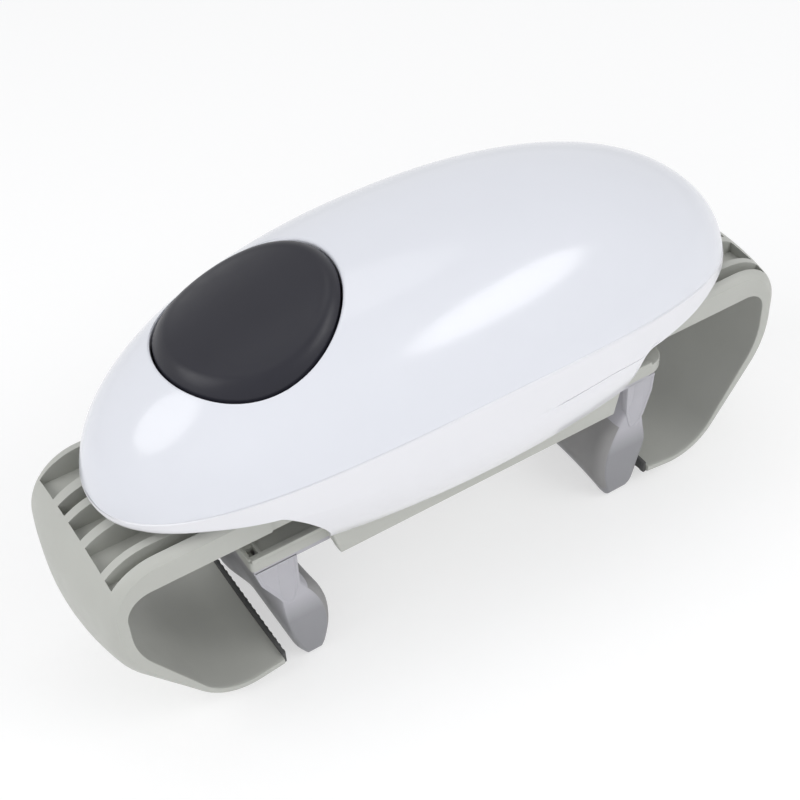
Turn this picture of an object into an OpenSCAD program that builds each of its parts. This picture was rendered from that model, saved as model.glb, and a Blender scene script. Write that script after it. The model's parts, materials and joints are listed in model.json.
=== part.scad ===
// Electric jar opener: an egg-shaped housing with one large button, two C-shaped jar arms that
// slide in from the ends, and a turning carrier below with two sliding lid grippers.
// Units are millimetres. X runs along the length with the button at -X, Y is the depth,
// Z is up, and the origin lies on the table under the middle of the housing.

/* [Housing] */
// Length of the egg-shaped housing
egg_len = 194; // [190:1:200]
// Width of the housing at its widest
egg_wide = 88.2; // [86:0.2:92]
// Height of the widest level above the table
egg_mid_z = 65.7; // [65.2:0.1:66.4]
// Height of the dome above the widest level
dome_high = 49.4; // [48.8:0.2:54]
// Wall thickness of both shells
wall = 2.2; // [1.8:0.1:2.4]
// Height of the seam between the shells, at the middle
seam_mid_z = 85.6; // [85:0.2:87]
// How far the seam dips towards both tips
seam_dip = 14.1; // [13:0.1:15]
// Height of the lower shell's rim over the arms, if it ran on to the middle
rim_mid_z = 74.4; // [74.2:0.1:75]
// How far that rim dips towards both tips
rim_dip = 5.3; // [5:0.1:5.5]
// Height of the skirt's bottom edge
skirt_z = 52.1; // [52.1:0.1:52.5]
// Width of the skirt at its bottom edge
skirt_wide = 66.8; // [66:0.2:70]
// Half length of the skirt at its bottom edge
skirt_half = 47.2; // [47:0.1:47.8]
// Thickness of the floor and of the arch roofs
floor_t = 2; // [1.6:0.1:2.2]

/* [Button] */
// Radius of the button
button_r = 23.3; // [22:0.1:24]
// Distance of the button's centre from the middle of the housing
button_off = 48.6; // [47:0.1:49.5]
// Gap round the button
button_gap = 0.6; // [0.4:0.1:0.8]
// Height of the button's rolled rim above the dome
button_proud = 1.3; // [0.8:0.1:1.6]
// Depth of the dish in the button's face
button_dish = 1.5; // [0.5:0.1:2]
// Travel of the button when pressed
button_travel = 2; // [1.5:0.1:2.2]

/* [Jar arms] */
// Width of a jar arm from front to back
arm_wide = 50; // [48:0.5:50.5]
// Height of the underside of an arm's top plate
arm_under_z = 58.2; // [58:0.1:58.5]
// Height of the top of an arm's ribs
arm_top_z = 67.5; // [67:0.1:67.5]
// Distance from the middle to the inner side of an arm's end wall
arm_reach = 101.1; // [100.5:0.1:103]
// Thickness of the end wall
arm_end_t = 4.8; // [4.2:0.1:5]
// How far the end wall bows out in the middle
arm_bow = 4; // [2:0.1:4.5]
// Thickness of the arm's lower wall and lip
arm_lip_t = 2.8; // [2.4:0.1:3.4]
// Gap between the grippers and the lips' tips
lip_gap = 2.4; // [2.2:0.1:2.8]
// Thickness of the ribs between the pockets
rib_t = 2.4; // [2:0.1:2.8]

/* [Carrier] */
// Width of the carrier's middle block
carrier_wide = 58.2; // [57.4:0.2:59]
// Length of the middle block at its underside
carrier_len = 88.6; // [87:0.2:90]
// Height of the underside of the middle block's side rails
carrier_low_z = 43.5; // [43.3:0.1:43.6]
// Gap between the carrier and the skirt
carrier_gap = 0.4; // [0.3:0.1:0.6]
// Distance from the middle to the tip of an end plate
plate_reach = 67.4; // [66.8:0.1:68]
// Width of an end plate
plate_wide = 48; // [46.5:0.5:49]
// Thickness of an end plate
plate_t = 3.6; // [3.2:0.1:4]

/* [Lid grippers] */
// Distance from the turning axis to the outer side of a gripper's wall
grip_out_r = 60.4; // [59.8:0.1:60.6]
// Width of a gripper from front to back
grip_wide = 46; // [44:0.5:46.5]
// Thickness of a gripper's foot, with its pad
grip_foot_t = 15; // [14.4:0.1:15.4]
// Depth of the hollow that fits the gripping face to a round lid
grip_dish = 2; // [1:0.1:3]
// Thickness of the rubber pad on the gripping face
pad_t = 1.2; // [0.8:0.1:1.6]

/* [Drive] */
// Travel of each rack when the arms and grippers close
rack_travel = 28; // [24:0.5:28]
// Tooth module of the racks and their pinions
rack_module = 1; // [1:1:1]
// Number of teeth on each rack pinion
pinion_teeth = 18; // [18:1:18]
// Tooth module of the gear train
train_module = 0.6; // [0.6:0.1:0.6]
// Play between meshing teeth
tooth_play = 0.3; // [0.2:0.05:0.4]
// Radius of the drive shaft
shaft_r = 2.5; // [2.3:0.1:2.6]
// Running clearance between a shaft and its bore
run_gap = 0.06; // [0.04:0.01:0.1]
// Diameter of an AA cell
cell_dia = 14.2; // [14:0.1:14.4]
// Length of an AA cell's can
cell_len = 49.2; // [49:0.1:49.6]

/* [Hidden] */
$fn = 48;
eps = 0.01;

egg_a = egg_len / 2;
egg_b = egg_wide / 2;
plan_pow = 2.17;   // squareness of the housing seen from above
dome_pow = 2.2;    // squareness of the housing seen from the side
ring_n = 56;       // points round each ring of the shells

// ---------- shapes shared by the housing pieces ----------
function spow(v, p) = sign(v) * pow(abs(v), p);
function plan_dir(t, n) = [spow(cos(t), 2 / n), spow(sin(t), 2 / n)];
function egg_shrink(s) = pow(max(0, 1 - pow(abs(s), dome_pow)), 1 / dome_pow);
// Height fraction at which the egg meets a level that dips towards the tips
function meet_s(px, mid_z, dip, tries = 6, s = 0) = tries == 0 ? s
    : meet_s(px, mid_z, dip, tries - 1,
             (mid_z - dip * pow(px * egg_shrink(s), 2) - egg_mid_z) / dome_high);
function egg_point(d, s, inset) = [(egg_a - inset) * d[0] * egg_shrink(s),
                                   (egg_b - inset) * d[1] * egg_shrink(s),
                                   egg_mid_z + (dome_high - inset) * s];
function dome_z(x, y) = egg_mid_z + dome_high
    * egg_shrink(pow(pow(abs(x) / egg_a, plan_pow) + pow(abs(y) / egg_b, plan_pow), 1 / plan_pow));
function rim_z(x) = rim_mid_z - rim_dip * pow(x / egg_a, 2);
function turns(n) = [for (k = [0 : n - 1]) 360 * k / n];

// Rings of the dome from the seam to just below the top
function dome_ring(u, inset) = [for (t = turns(ring_n))
    let (d = plan_dir(t, plan_pow),
         s0 = meet_s(d[0], seam_mid_z, seam_dip),
         e0 = asin(pow(s0, dome_pow / 2)),
         e = e0 + (88 - e0) * u)
    let (p = egg_point(d, pow(sin(e), 2 / dome_pow), inset))
    u == 0 ? [p[0], p[1], egg_mid_z + dome_high * s0] : p];

// Rings of the lower shell: the band from the seam to its rim, then the skirt down to the floor
function band_ring(u, inset) = [for (t = turns(ring_n))
    let (d = plan_dir(t, plan_pow),
         s0 = meet_s(d[0], seam_mid_z, seam_dip),
         s1 = meet_s(d[0], rim_mid_z, rim_dip),
         s = s0 + (s1 - s0) * u,
         p = egg_point(d, s, inset))
    [p[0], p[1], egg_mid_z + dome_high * s]];
function skirt_ring(g, inset, low_z) = [for (t = turns(ring_n))
    let (n = plan_pow + (2.03 - plan_pow) * g,
         d = plan_dir(t, n),
         top = rim_z(egg_a * d[0]),
         half = egg_b * egg_shrink((top - egg_mid_z) / dome_high),
         y = skirt_wide / 2 + (half - skirt_wide / 2) * (1 - pow(g, 1.7)))
    [(egg_a - inset) * d[0], (y - inset) * d[1], top + (low_z - top) * g]];
skirt_steps = 5;
function lower_rings(inset, low_z) = concat(
    [for (u = [0, 0.5]) band_ring(u, inset)],
    [for (k = [0 : skirt_steps]) skirt_ring(k / skirt_steps, inset, low_z)]);
dome_steps = 12;
function dome_rings(inset) = [for (k = [0 : dome_steps]) dome_ring(k / dome_steps, inset)];

function flat(lists) = [for (l = lists) each l];
// Faces between successive rings of n points; a rising stack needs up = true
function band_faces(from, rings, n, up) = [for (j = [0 : rings - 2], k = [0 : n - 1])
    let (a = from + j * n + k, b = from + j * n + (k + 1) % n, c = b + n, d = a + n)
    each (up ? [[a, d, c], [a, c, b]] : [[a, c, d], [a, b, c]])];
// A thin bowl, open at the first ring and closed at the last
module bowl(outer, inner, up) {
    n = len(outer[0]);
    no = len(outer);
    ni = len(inner);
    at = no * n;
    cap_o = [for (k = [0 : n - 1]) (no - 1) * n + k];
    cap_i = [for (k = [0 : n - 1]) at + (ni - 1) * n + k];
    back = function (l) [for (k = [len(l) - 1 : -1 : 0]) l[k]];
    rim = [for (k = [0 : n - 1])
        let (a = k, b = (k + 1) % n, c = at + b, d = at + a)
        each (up ? [[a, b, c], [a, c, d]] : [[a, c, b], [a, d, c]])];
    polyhedron(points = concat(flat(outer), flat(inner)),
               faces = concat(band_faces(0, no, n, up), band_faces(at, ni, n, !up), rim,
                              [up ? back(cap_o) : cap_o], [up ? cap_i : back(cap_i)]));
}
// A closed solid through a rising stack of rings
module stack(rings) {
    n = len(rings[0]);
    top = (len(rings) - 1) * n;
    polyhedron(points = flat(rings),
               faces = concat(band_faces(0, len(rings), n, true),
                              [[for (k = [0 : n - 1]) k]],
                              [[for (k = [n - 1 : -1 : 0]) top + k]]));
}
clip = wall - 0.5;   // inset of the solids that trim ribs and bosses to the walls
module lower_core() {
    core_top = seam_mid_z + 3;
    top_s = (core_top - egg_mid_z) / dome_high;
    rings = lower_rings(clip, skirt_z);
    last = len(rings) - 1;
    stack(concat([for (k = [last : -1 : 2]) rings[k]],
                 [[for (t = turns(ring_n)) egg_point(plan_dir(t, plan_pow), top_s, clip)]]));
}
module dome_core() {
    stack([for (e = [8 : 16 : 88]) [for (t = turns(ring_n))
        egg_point(plan_dir(t, plan_pow), pow(sin(e), 2 / dome_pow), clip)]]);
}
module across(width) {
    rotate([90, 0, 0]) linear_extrude(width, center = true) children();
}
module both_ends() {
    children();
    mirror([1, 0, 0]) children();
}
module rounded_bar(size, r) {
    linear_extrude(size[2], center = true)
        polygon([for (q = [0 : 3], a = [0 : 15 : 90])
            let (sx = q == 0 || q == 3 ? 1 : -1, sy = q < 2 ? 1 : -1)
            [sx * (size[0] / 2 - r) + r * cos(a + 90 * q),
             sy * (size[1] / 2 - r) + r * sin(a + 90 * q)]]);
}
module tube(r, bore, h) {
    difference() {
        cylinder(r = r, h = h);
        translate([0, 0, -1]) cylinder(r = bore, h = h + 2);
    }
}

// ---------- arch over each jar arm ----------
arch_x = 70;                     // where the arch meets the rim
arch_wide = arch_x - skirt_half;
arch_pow = 1.8;
function arch_line(grow) = concat(
    [for (a = [0 : 9 : 90])
        [arch_x - (arch_wide + grow) * pow(cos(a), 2 / arch_pow),
         skirt_z + (rim_z(arch_x) - skirt_z + grow) * pow(sin(a), 2 / arch_pow)]],
    [for (x = [arch_x + 8 : 8 : egg_a + 9]) [x, rim_z(x) + grow]]);
arch_low = skirt_z - 5;
arch_far = egg_a + 12;
module arch_cut() {
    line = arch_line(0);
    across(egg_wide + 10)
        polygon(concat([[skirt_half, arch_low]], line,
                       [[arch_far, line[len(line) - 1][1]], [arch_far, arch_low]]));
}
module arch_roof() {
    inner = arch_line(0);
    outer = arch_line(floor_t);
    across(egg_wide)
        polygon(concat(inner, [for (k = [len(outer) - 1 : -1 : 0]) outer[k]]));
}

// ---------- placing values ----------
floor_top = skirt_z + floor_t;
rack_low_z = arm_under_z + 0.3;      // underside of the arms' racks
rack_high = 5.6;                     // height of a rack bar
rack_pitch_r = rack_module * pinion_teeth / 2;
rack_in = rack_pitch_r + rack_module * 0.1;
rack_back = rack_pitch_r + 6;        // far side of a rack bar from the middle
rail_gap = 0.3;
slot_gap = 0.4;
rail_half = 29;                      // half length of the walls beside the racks
base_z = 68.2;                       // underside of the gear base
base_t = 2;
base_long = 90;
base_wide = 51.6;
sheet_long = 43;
sheet_wide = 36;
frame_x = 9.5;                       // middle of the gear frame along the housing
board_long = 44;
board_wide = 28;
hub_r = 12;
ring_t = 1.6;
door_half = 29;
door_low_z = 56.6;
door_high_z = 81.4;
door_gap = 0.3;
boss_x = egg_a - 22;
boss_y = egg_b - 28.1;
boss_r = 3.4;
screw_r = 1.3;

module window(grow) {
    translate([0, egg_b, (door_low_z + door_high_z) / 2])
        rotate([90, 0, 0])
            rounded_bar([2 * (door_half + grow), door_high_z - door_low_z + 2 * grow, 34], 3);
}
module boss_spots() {
    for (sx = [-1, 1], sy = [-1, 1]) translate([sx * boss_x, sy * boss_y, 0]) children();
}

module upper_shell() {
    color([0.88, 0.89, 0.94]) {
        collar_low = 92;
        collar_t = 1.6;
        difference() {
            union() {
                bowl(dome_rings(0), dome_rings(wall), true);
                intersection() {
                    dome_core();
                    union() {
                        translate([-button_off, 0, collar_low])
                            tube(button_r + button_gap + collar_t, button_r + button_gap, 30);
                        boss_spots() translate([0, 0, rim_z(boss_x - boss_r) + floor_t + 0.05])
                            cylinder(r = boss_r, h = 40);
                    }
                }
            }
            translate([-button_off, 0, collar_low - 1])
                cylinder(r = button_r + button_gap, h = 40);
            boss_spots() translate([0, 0, rim_z(boss_x) - 1])
                cylinder(r = screw_r, h = 14);
        }
    }
}

module rack_rails() {
    difference() {
        for (sy = [-1, 1]) {
            translate([-skirt_half, sy > 0 ? rack_back - 4 : -rack_back, floor_top - eps])
                cube([2 * skirt_half, 4, rack_low_z - rail_gap - 0.2 - floor_top]);
            translate([-rail_half, sy * (rack_back + rail_gap + 0.8) - 0.8, floor_top - eps])
                cube([2 * rail_half, 1.6, rack_low_z + rack_high - 1 - floor_top]);
        }
        translate([0, 0, floor_top - 1]) cylinder(r = hub_r + 3.2, h = 20);
    }
}
// Walls at both ends of the battery bay
module bay_walls() {
    both_ends() translate([door_half + 0.2, rack_back + 6, floor_top - eps])
        cube([1.6, 30, door_high_z + 1 - floor_top]);
}
module lower_shell() {
    color([0.88, 0.89, 0.94]) {
        wall_top = rim_z(arch_x) + floor_t;
        difference() {
            union() {
                bowl(lower_rings(0, skirt_z), lower_rings(wall, floor_top), false);
                intersection() {
                    lower_core();
                    union() {
                        both_ends() arch_roof();
                        rack_rails();
                        bay_walls();
                        translate([0, 0, floor_top - eps]) tube(hub_r + 4, hub_r + run_gap, 1.4);
                        base_posts();
                    }
                }
            }
            both_ends() {
                arch_cut();
                translate([skirt_half - 2, -arm_wide / 2 - slot_gap, arm_under_z - slot_gap])
                    cube([arch_x - skirt_half, arm_wide + 2 * slot_gap,
                          arm_top_z - arm_under_z + 2 * slot_gap]);
            }
            translate([0, 0, skirt_z - 1]) cylinder(r = hub_r + run_gap, h = 6);
            window(0);
            boss_spots() translate([0, 0, rim_z(boss_x) - 6]) cylinder(r = screw_r + 0.3, h = 12);
        }
    }
}
post_r = 2.2;
post_front = [20, -28.6];
post_rear = [12, 17.6];
module post_spots() {
    for (sx = [-1, 1], at = [post_front, post_rear]) translate([sx * at[0], at[1], 0]) children();
}
module base_posts() {
    post_spots() translate([0, 0, floor_top - eps])
        cylinder(r = post_r, h = base_z - floor_top + eps);
}

module battery_door() {
    color([0.85, 0.86, 0.91]) intersection() {
        bowl(lower_rings(0, skirt_z), lower_rings(wall, floor_top), false);
        window(-door_gap);
    }
}

// ---------- button, spring, switch and board ----------
button_skirt_z = 93;
button_n = 40;
// Height of the button's face above the dome at a fraction of its radius
function face_lift(q) = q < 0.84
    ? button_proud - 0.1 - button_dish * (1 - pow(q / 0.84, 2))
    : button_proud - 2.6 * pow((q - 0.87) / 0.13, 2) * (q > 0.87 ? 1 : 0);
function face_point(q, t) = let (x = -button_off + button_r * q * cos(t),
                                 y = button_r * q * sin(t))
    [x, y, dome_z(x, y) + face_lift(q)];
module button() {
    rings = [0.25, 0.5, 0.7, 0.84, 0.89, 0.94, 0.975, 1];
    color([0.2, 0.21, 0.23]) {
        difference() {
            stack(concat(
                [[for (t = turns(button_n))
                    [-button_off + button_r * cos(t), button_r * sin(t), button_skirt_z]]],
                [for (k = [len(rings) - 1 : -1 : 0]) [for (t = turns(button_n))
                    face_point(rings[k], t)]]));
            translate([-button_off, 0, button_skirt_z - 1]) cylinder(r = button_r - 2, h = 5);
        }
        translate([-button_off, 0, stem_low])
            cylinder(r = 3, h = button_skirt_z + 4.5 - stem_low);
    }
}
board_z = 80;
board_t = 1.6;
switch_high = 7;
plunger_high = 1;
switch_top = board_z + board_t + switch_high + plunger_high;
stem_low = switch_top + button_travel + 0.2;   // end of the button's stem
spring_turns = 5;
module coil(r, wire, h, loops) {
    steps = 12;
    sides = 6;
    count = loops * steps;
    rise = h / count;
    stack([for (k = [0 : count]) [for (t = turns(sides))
        let (a = 360 * k / steps, rr = r + wire * cos(t))
        [rr * cos(a), rr * sin(a), wire + rise * k * (h - 2 * wire) / h - wire * sin(t)]]]);
}
module button_spring() {
    color([0.7, 0.7, 0.72]) translate([-button_off, 0, board_z + board_t])
        coil(6, 0.45, button_skirt_z + 4 - board_z - board_t, spring_turns);
}
module switch() {
    color([0.15, 0.15, 0.16]) translate([-button_off, 0, board_z + board_t]) {
        translate([-3.5, -3.5, 0]) cube([7, 7, switch_high]);
        translate([0, 0, switch_high - eps]) cylinder(r = 1.8, h = plunger_high + eps);
    }
}
module circuit_board() {
    board_low = rim_z(boss_x) + floor_t;
    color([0.12, 0.4, 0.25]) {
        translate([-button_off, 0, board_z + board_t / 2]) rounded_bar([board_long, board_wide, board_t], 2);
        for (sx = [-16, -6], sy = [-1, 1])
            translate([-button_off + sx, sy * 10.5, board_low])
                cylinder(r = 2, h = board_z - board_low + eps);
    }
}

// ---------- gears ----------
function inv_deg(a) = tan(a) * 180 / PI - a;
pressure = 20;
function half_tooth(rho, teeth, mod) = let (rp = teeth * mod / 2, rb = rp * cos(pressure))
    90 / teeth - tooth_play / 2 / rp * 180 / PI + inv_deg(pressure)
    - inv_deg(acos(min(1, rb / max(rho, rb))));
function gear_points(teeth, mod, phase) = let (rp = teeth * mod / 2,
        radii = [rp - 1.2 * mod, rp - 0.5 * mod, rp, rp + 0.5 * mod, rp + 0.95 * mod])
    [for (k = [0 : teeth - 1]) let (mid = phase + 360 * k / teeth) each concat(
        [for (q = radii) let (a = mid - half_tooth(q, teeth, mod)) q * [cos(a), sin(a)]],
        [for (j = [len(radii) - 1 : -1 : 0])
            let (q = radii[j], a = mid + half_tooth(q, teeth, mod)) q * [cos(a), sin(a)]])];
module gear(teeth, mod, phase, thick, bore) {
    difference() {
        linear_extrude(thick) polygon(gear_points(teeth, mod, phase));
        translate([0, 0, -1]) cylinder(r = bore, h = thick + 2);
    }
}
// Phase of a gear that meshes with one of teeth_a at phase_a, seen along the angle beta
function mesh_phase(beta, teeth_a, phase_a, teeth_b) =
    beta + 180 - (0.5 - (beta - phase_a) * teeth_a / 360) * 360 / teeth_b;
drive_teeth = 40;
second_small = 12;
wheel_teeth = 36;
small_teeth = 10;
second_x = train_module * (drive_teeth + second_small) / 2;
first_x = second_x + train_module * (wheel_teeth + small_teeth) / 2;
motor_x = first_x + train_module * (wheel_teeth + small_teeth) / 2;
motor_r = 10.2;
motor_high = 21;
motor_z = base_z + base_t;
pin_r = 1.2;
level_t = 2.6;
drive_z = 85.6;
second_z = drive_z + 3.6;
first_z = second_z + 3.6;
second_phase = mesh_phase(0, drive_teeth, 0, second_small);
first_phase = mesh_phase(0, wheel_teeth, second_phase, small_teeth);
motor_phase = mesh_phase(0, wheel_teeth, first_phase, small_teeth);
plate_z = 82;
cover_z = first_z + 4;
sheet_t = 1.6;

module drive_gear() {
    color([0.93, 0.93, 0.9]) translate([0, 0, drive_z])
        gear(drive_teeth, train_module, 0, level_t, shaft_r);
}
module second_gear() {
    color([0.93, 0.93, 0.9]) translate([second_x, 0, 0]) {
        translate([0, 0, drive_z])
            gear(second_small, train_module, second_phase, second_z - drive_z, pin_r + run_gap);
        translate([0, 0, second_z])
            gear(wheel_teeth, train_module, second_phase, level_t, pin_r + run_gap);
    }
}
module first_gear() {
    color([0.93, 0.93, 0.9]) translate([first_x, 0, 0]) {
        translate([0, 0, second_z])
            gear(small_teeth, train_module, first_phase, first_z - second_z, pin_r + run_gap);
        translate([0, 0, first_z])
            gear(wheel_teeth, train_module, first_phase, level_t, pin_r + run_gap);
    }
}
module motor_pinion() {
    color([0.8, 0.7, 0.4]) {
        translate([motor_x, 0, first_z]) gear(small_teeth, train_module, motor_phase, level_t, 0.98);
        translate([motor_x, 0, motor_z + motor_high - 4]) cylinder(r = 1, h = first_z + level_t
            + 0.4 - motor_z - motor_high + 4);
    }
}
module motor() {
    color([0.65, 0.66, 0.68]) translate([motor_x, 0, motor_z]) difference() {
        union() {
            cylinder(r = motor_r, h = motor_high - 1);
            cylinder(r = 3, h = motor_high);
        }
        translate([0, 0, motor_high - 4.2]) cylinder(r = 1 + run_gap, h = 6);
    }
}
module gear_pins() {
    color([0.75, 0.75, 0.77]) {
        translate([second_x, 0, plate_z + sheet_t]) cylinder(r = pin_r, h = cover_z - plate_z - sheet_t);
        translate([first_x, 0, plate_z + sheet_t]) cylinder(r = pin_r, h = cover_z - plate_z - sheet_t);
    }
}
frame_post_r = 2.2;
module frame_spots() {
    for (sx = [-1, 1], sy = [-1, 1])
        translate([frame_x - 1.5 + sx * 17, sy * (sheet_wide / 2 - 2.8), 0]) children();
}
module gear_base() {
    color([0.5, 0.52, 0.55]) difference() {
        union() {
            translate([frame_x - 0.5, -5.2, base_z + base_t / 2])
                rounded_bar([base_long, base_wide, base_t], 4);
            frame_spots() translate([0, 0, base_z]) cylinder(r = frame_post_r, h = plate_z - base_z);
        }
        translate([0, 0, base_z - 1]) cylinder(r = shaft_r + run_gap, h = 6);
    }
}
module gear_plate() {
    color([0.5, 0.52, 0.55]) difference() {
        union() {
            translate([frame_x, 0, plate_z + sheet_t / 2])
                rounded_bar([sheet_long, sheet_wide, sheet_t], 3);
            frame_spots() translate([0, 0, plate_z]) cylinder(r = frame_post_r, h = cover_z - plate_z);
        }
        translate([0, 0, plate_z - 1]) cylinder(r = shaft_r + run_gap, h = 6);
        translate([motor_x, 0, plate_z - 1]) cylinder(r = motor_r + 0.5, h = 6);
    }
}
module gear_cover() {
    color([0.5, 0.52, 0.55]) difference() {
        translate([frame_x, 0, cover_z + sheet_t / 2])
            rounded_bar([sheet_long, sheet_wide, sheet_t], 3);
        translate([0, 0, cover_z - 1]) cylinder(r = shaft_r + run_gap, h = 6);
    }
}

// ---------- drive shaft and arm pinion ----------
shaft_low = carrier_low_z + 2.2;
module drive_shaft() {
    color([0.72, 0.72, 0.74]) translate([0, 0, grip_rack_top + 0.3])
        cylinder(r = shaft_r, h = cover_z + 1.2 - grip_rack_top - 0.3);
}
module arm_pinion() {
    color([0.93, 0.93, 0.9]) translate([0, 0, rack_low_z])
        gear(pinion_teeth, rack_module, 0, rack_high, shaft_r + run_gap);
}

// ---------- cells and contacts ----------
cell_low = [egg_b - 16.9, 64.3];
cell_high = [egg_b - 14.5, 79.2];
module cell() {
    rotate([0, 90, 0]) {
        translate([0, 0, -cell_len / 2]) cylinder(r = cell_dia / 2, h = cell_len);
        translate([0, 0, cell_len / 2 - eps]) cylinder(r = 2.7, h = 1.2);
    }
}
module battery_lower() {
    color([0.25, 0.3, 0.4]) translate([0, cell_low[0], cell_low[1]]) cell();
}
module battery_upper() {
    color([0.25, 0.3, 0.4]) translate([0, cell_high[0], cell_high[1]]) mirror([1, 0, 0]) cell();
}
contact_half = 5.8;
module battery_contacts() {
    plate_low = cell_low[1] - 6;
    stub = door_half - 0.6 - cell_len / 2;
    color([0.8, 0.8, 0.8]) for (sx = [-1, 1]) {
        translate([sx * (door_half - 0.2) - 0.4, cell_low[0] - contact_half, plate_low])
            cube([0.8, 2 * contact_half, cell_high[1] + 6 - plate_low]);
        for (at = [cell_low, cell_high]) let (nub = (at == cell_low) == (sx > 0) ? 1.2 : 0)
            translate([sx * (door_half - 0.5), at[0], at[1]]) rotate([0, -90 * sx, 0])
                cylinder(r1 = nub > 0 ? 2.4 : 4, r2 = 2.4, h = stub - nub + 0.1 - 0.05);
    }
}
module shell_screws() {
    color([0.6, 0.6, 0.62]) boss_spots() {
        translate([0, 0, rim_z(boss_x + 2.6) - 1.6]) cylinder(r = 2.6, h = 1.6);
        translate([0, 0, rim_z(boss_x + 2.6) - eps]) cylinder(r = screw_r - 0.02, h = 11);
    }
}

// ---------- jar arms ----------
// Circles that the inside of the C rolls round: nose, outer bend and bottom bend
lip_reach = grip_out_r + lip_gap;
nose_in_r = 7;
nose_in = [-arm_reach + nose_in_r, arm_under_z - nose_in_r];
bend_r = 24;
bend_at = [-arm_reach + bend_r, 45.5];
heel_r = 15.5;
heel_at = [-lip_reach - 9.8, 21.9];
nose_out_r = 15.5;
nose_out = [-arm_reach - arm_end_t + nose_out_r, arm_top_z - nose_out_r];
lip_rise = 8;     // upward slope of the lip in degrees
root_x = -60.5;   // inner end of the top plate
function arc(c, r, a0, a1, n) = [for (k = [0 : n])
    let (a = a0 + (a1 - a0) * k / n) c + r * [cos(a), sin(a)]];
// Direction, from straight down, of the line that touches both bends
function lean(r1, r2) = let (d = heel_at - bend_at)
    atan2(d[0], -d[1]) + asin((r1 - r2) / norm(d));
function lip_end(r) = let (dir = [cos(lip_rise), sin(lip_rise)],
        from = heel_at + r * [sin(lip_rise), -cos(lip_rise)])
    from + dir * ((-lip_reach - from[0]) / dir[0]);
// One line of the C: its nose is an ellipse that reaches further by the bow, and keeps its top
function c_line(top, nose, nose_r, r1, r2, bow) = let (tilt = lean(r1 + bow, r2 + bow * heel_share))
    concat(
        [[root_x, top]],
        [for (k = [0 : 7]) let (a = 90 + 90 * k / 7)
            nose + [(nose_r + bow) * cos(a), nose_r * sin(a)]],
        arc(bend_at, r1 + bow, 180, 180 + tilt, 4),
        arc(heel_at, r2 + bow * heel_share, 180 + tilt, 270 + lip_rise, 7),
        [lip_end(r2 + bow * heel_share)]);
heel_share = 0.3;   // share of the bow that is left at the bottom bend
// The outer line, then the inner line back, at an inset of the rim and a bow
function c_profile(inset, bow) = let (
        inner = c_line(arm_under_z, nose_in, nose_in_r, bend_r, heel_r, bow))
    concat(c_line(arm_top_z - inset, nose_out, nose_out_r - inset, bend_r + arm_end_t - inset,
                  heel_r + arm_lip_t - inset * 0.6, bow),
           [for (k = [len(inner) - 1 : -1 : 0]) inner[k]]);
rim_steps = [[0, 2], [0.5, 1.1], [1.6, 0.3], [4, 0], [9, 0], [16, 0]];   // distance from the edge, inset
// Edges of the pockets along Y, from the front
pocket_edges = [[-22.4, -19], [-16.8, -7.8], [-5, 2.2], [4.8, 9], [12, 21.5]];
pocket_floor = arm_under_z + 2.2;
pocket_far = arm_reach + 1.6;
// A solid through rings along Y. Each ring is an outer line and then an inner line back, with as
// many points, and each end is a strip of faces from one line to the other.
module swept(rings) {
    n = len(rings[0]);
    top = (len(rings) - 1) * n;
    ends = [for (k = [0 : n / 2 - 2]) each [
        [n - 1 - k, n - 2 - k, k + 1, k],
        [top + k, top + k + 1, top + n - 2 - k, top + n - 1 - k]]];
    polyhedron(points = flat(rings), faces = concat(band_faces(0, len(rings), n, false), ends));
}
module c_body() {
    half = arm_wide / 2;
    sides = concat([for (s = rim_steps) [s[0] - half, s[1]]], [[0, 0]],
                   [for (k = [len(rim_steps) - 1 : -1 : 0]) [half - rim_steps[k][0], rim_steps[k][1]]]);
    swept([for (s = sides) let (bow = arm_bow * (1 - pow(s[0] / half, 2)))
        [for (p = c_profile(s[1], bow)) [p[0], s[0], p[1]]]]);
}
module rack_teeth(x0, x1) {
    // Teeth that point down in this 2D view, towards the pinion
    count_low = ceil((x0 + rack_module) / (PI * rack_module));
    count_high = floor((x1 - rack_module) / (PI * rack_module));
    half = PI * rack_module / 4 - tooth_play / 2;
    for (k = [count_low : count_high]) translate([k * PI * rack_module, 0])
        polygon([[-half - 0.37 * rack_module, rack_module * 1.1], [-half + 0.34 * rack_module, -0.9 * rack_module],
                 [half - 0.34 * rack_module, -0.9 * rack_module], [half + 0.37 * rack_module, rack_module * 1.1]]);
}
// A rack bar behind the line y = -pitch radius, toothed towards the middle
module rack(x_from, x_teeth, x_to, low, high) {
    translate([0, 0, low]) mirror([0, 1, 0]) linear_extrude(high) {
        translate([x_from, rack_pitch_r + rack_module])
            square([x_to - x_from, rack_back - rack_pitch_r - rack_module]);
        translate([0, rack_pitch_r]) rack_teeth(x_teeth, x_to);
    }
}
rack_over = 3.6;      // how far a rack runs past the middle
flange_end = -47;     // inner end of the front flange
module jar_arm(rack_side) {
    difference() {
        c_body();
        for (p = pocket_edges)
            translate([-pocket_far, p[0], pocket_floor])
                cube([pocket_far + root_x - 6, p[1] - p[0], 20]);
    }
    translate([-pocket_far + 11, pocket_edges[2][0] - eps, pocket_floor - eps])
        cube([2, pocket_edges[2][1] - pocket_edges[2][0] + 2 * eps, 5]);
    translate([root_x - 4, -arm_wide / 2 + 0.6, arm_under_z])
        cube([flange_end - root_x + 4, 2.2, arm_top_z - arm_under_z - 2]);
    mirror([0, rack_side > 0 ? 1 : 0, 0])
        rack(root_x - 3, -rack_travel - 7, rack_over, rack_low_z, rack_high);
}
module jar_arm_left() {
    color([0.74, 0.74, 0.7]) jar_arm(-1);
}
module jar_arm_right() {
    color([0.74, 0.74, 0.7]) mirror([1, 0, 0]) jar_arm(1);
}
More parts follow.
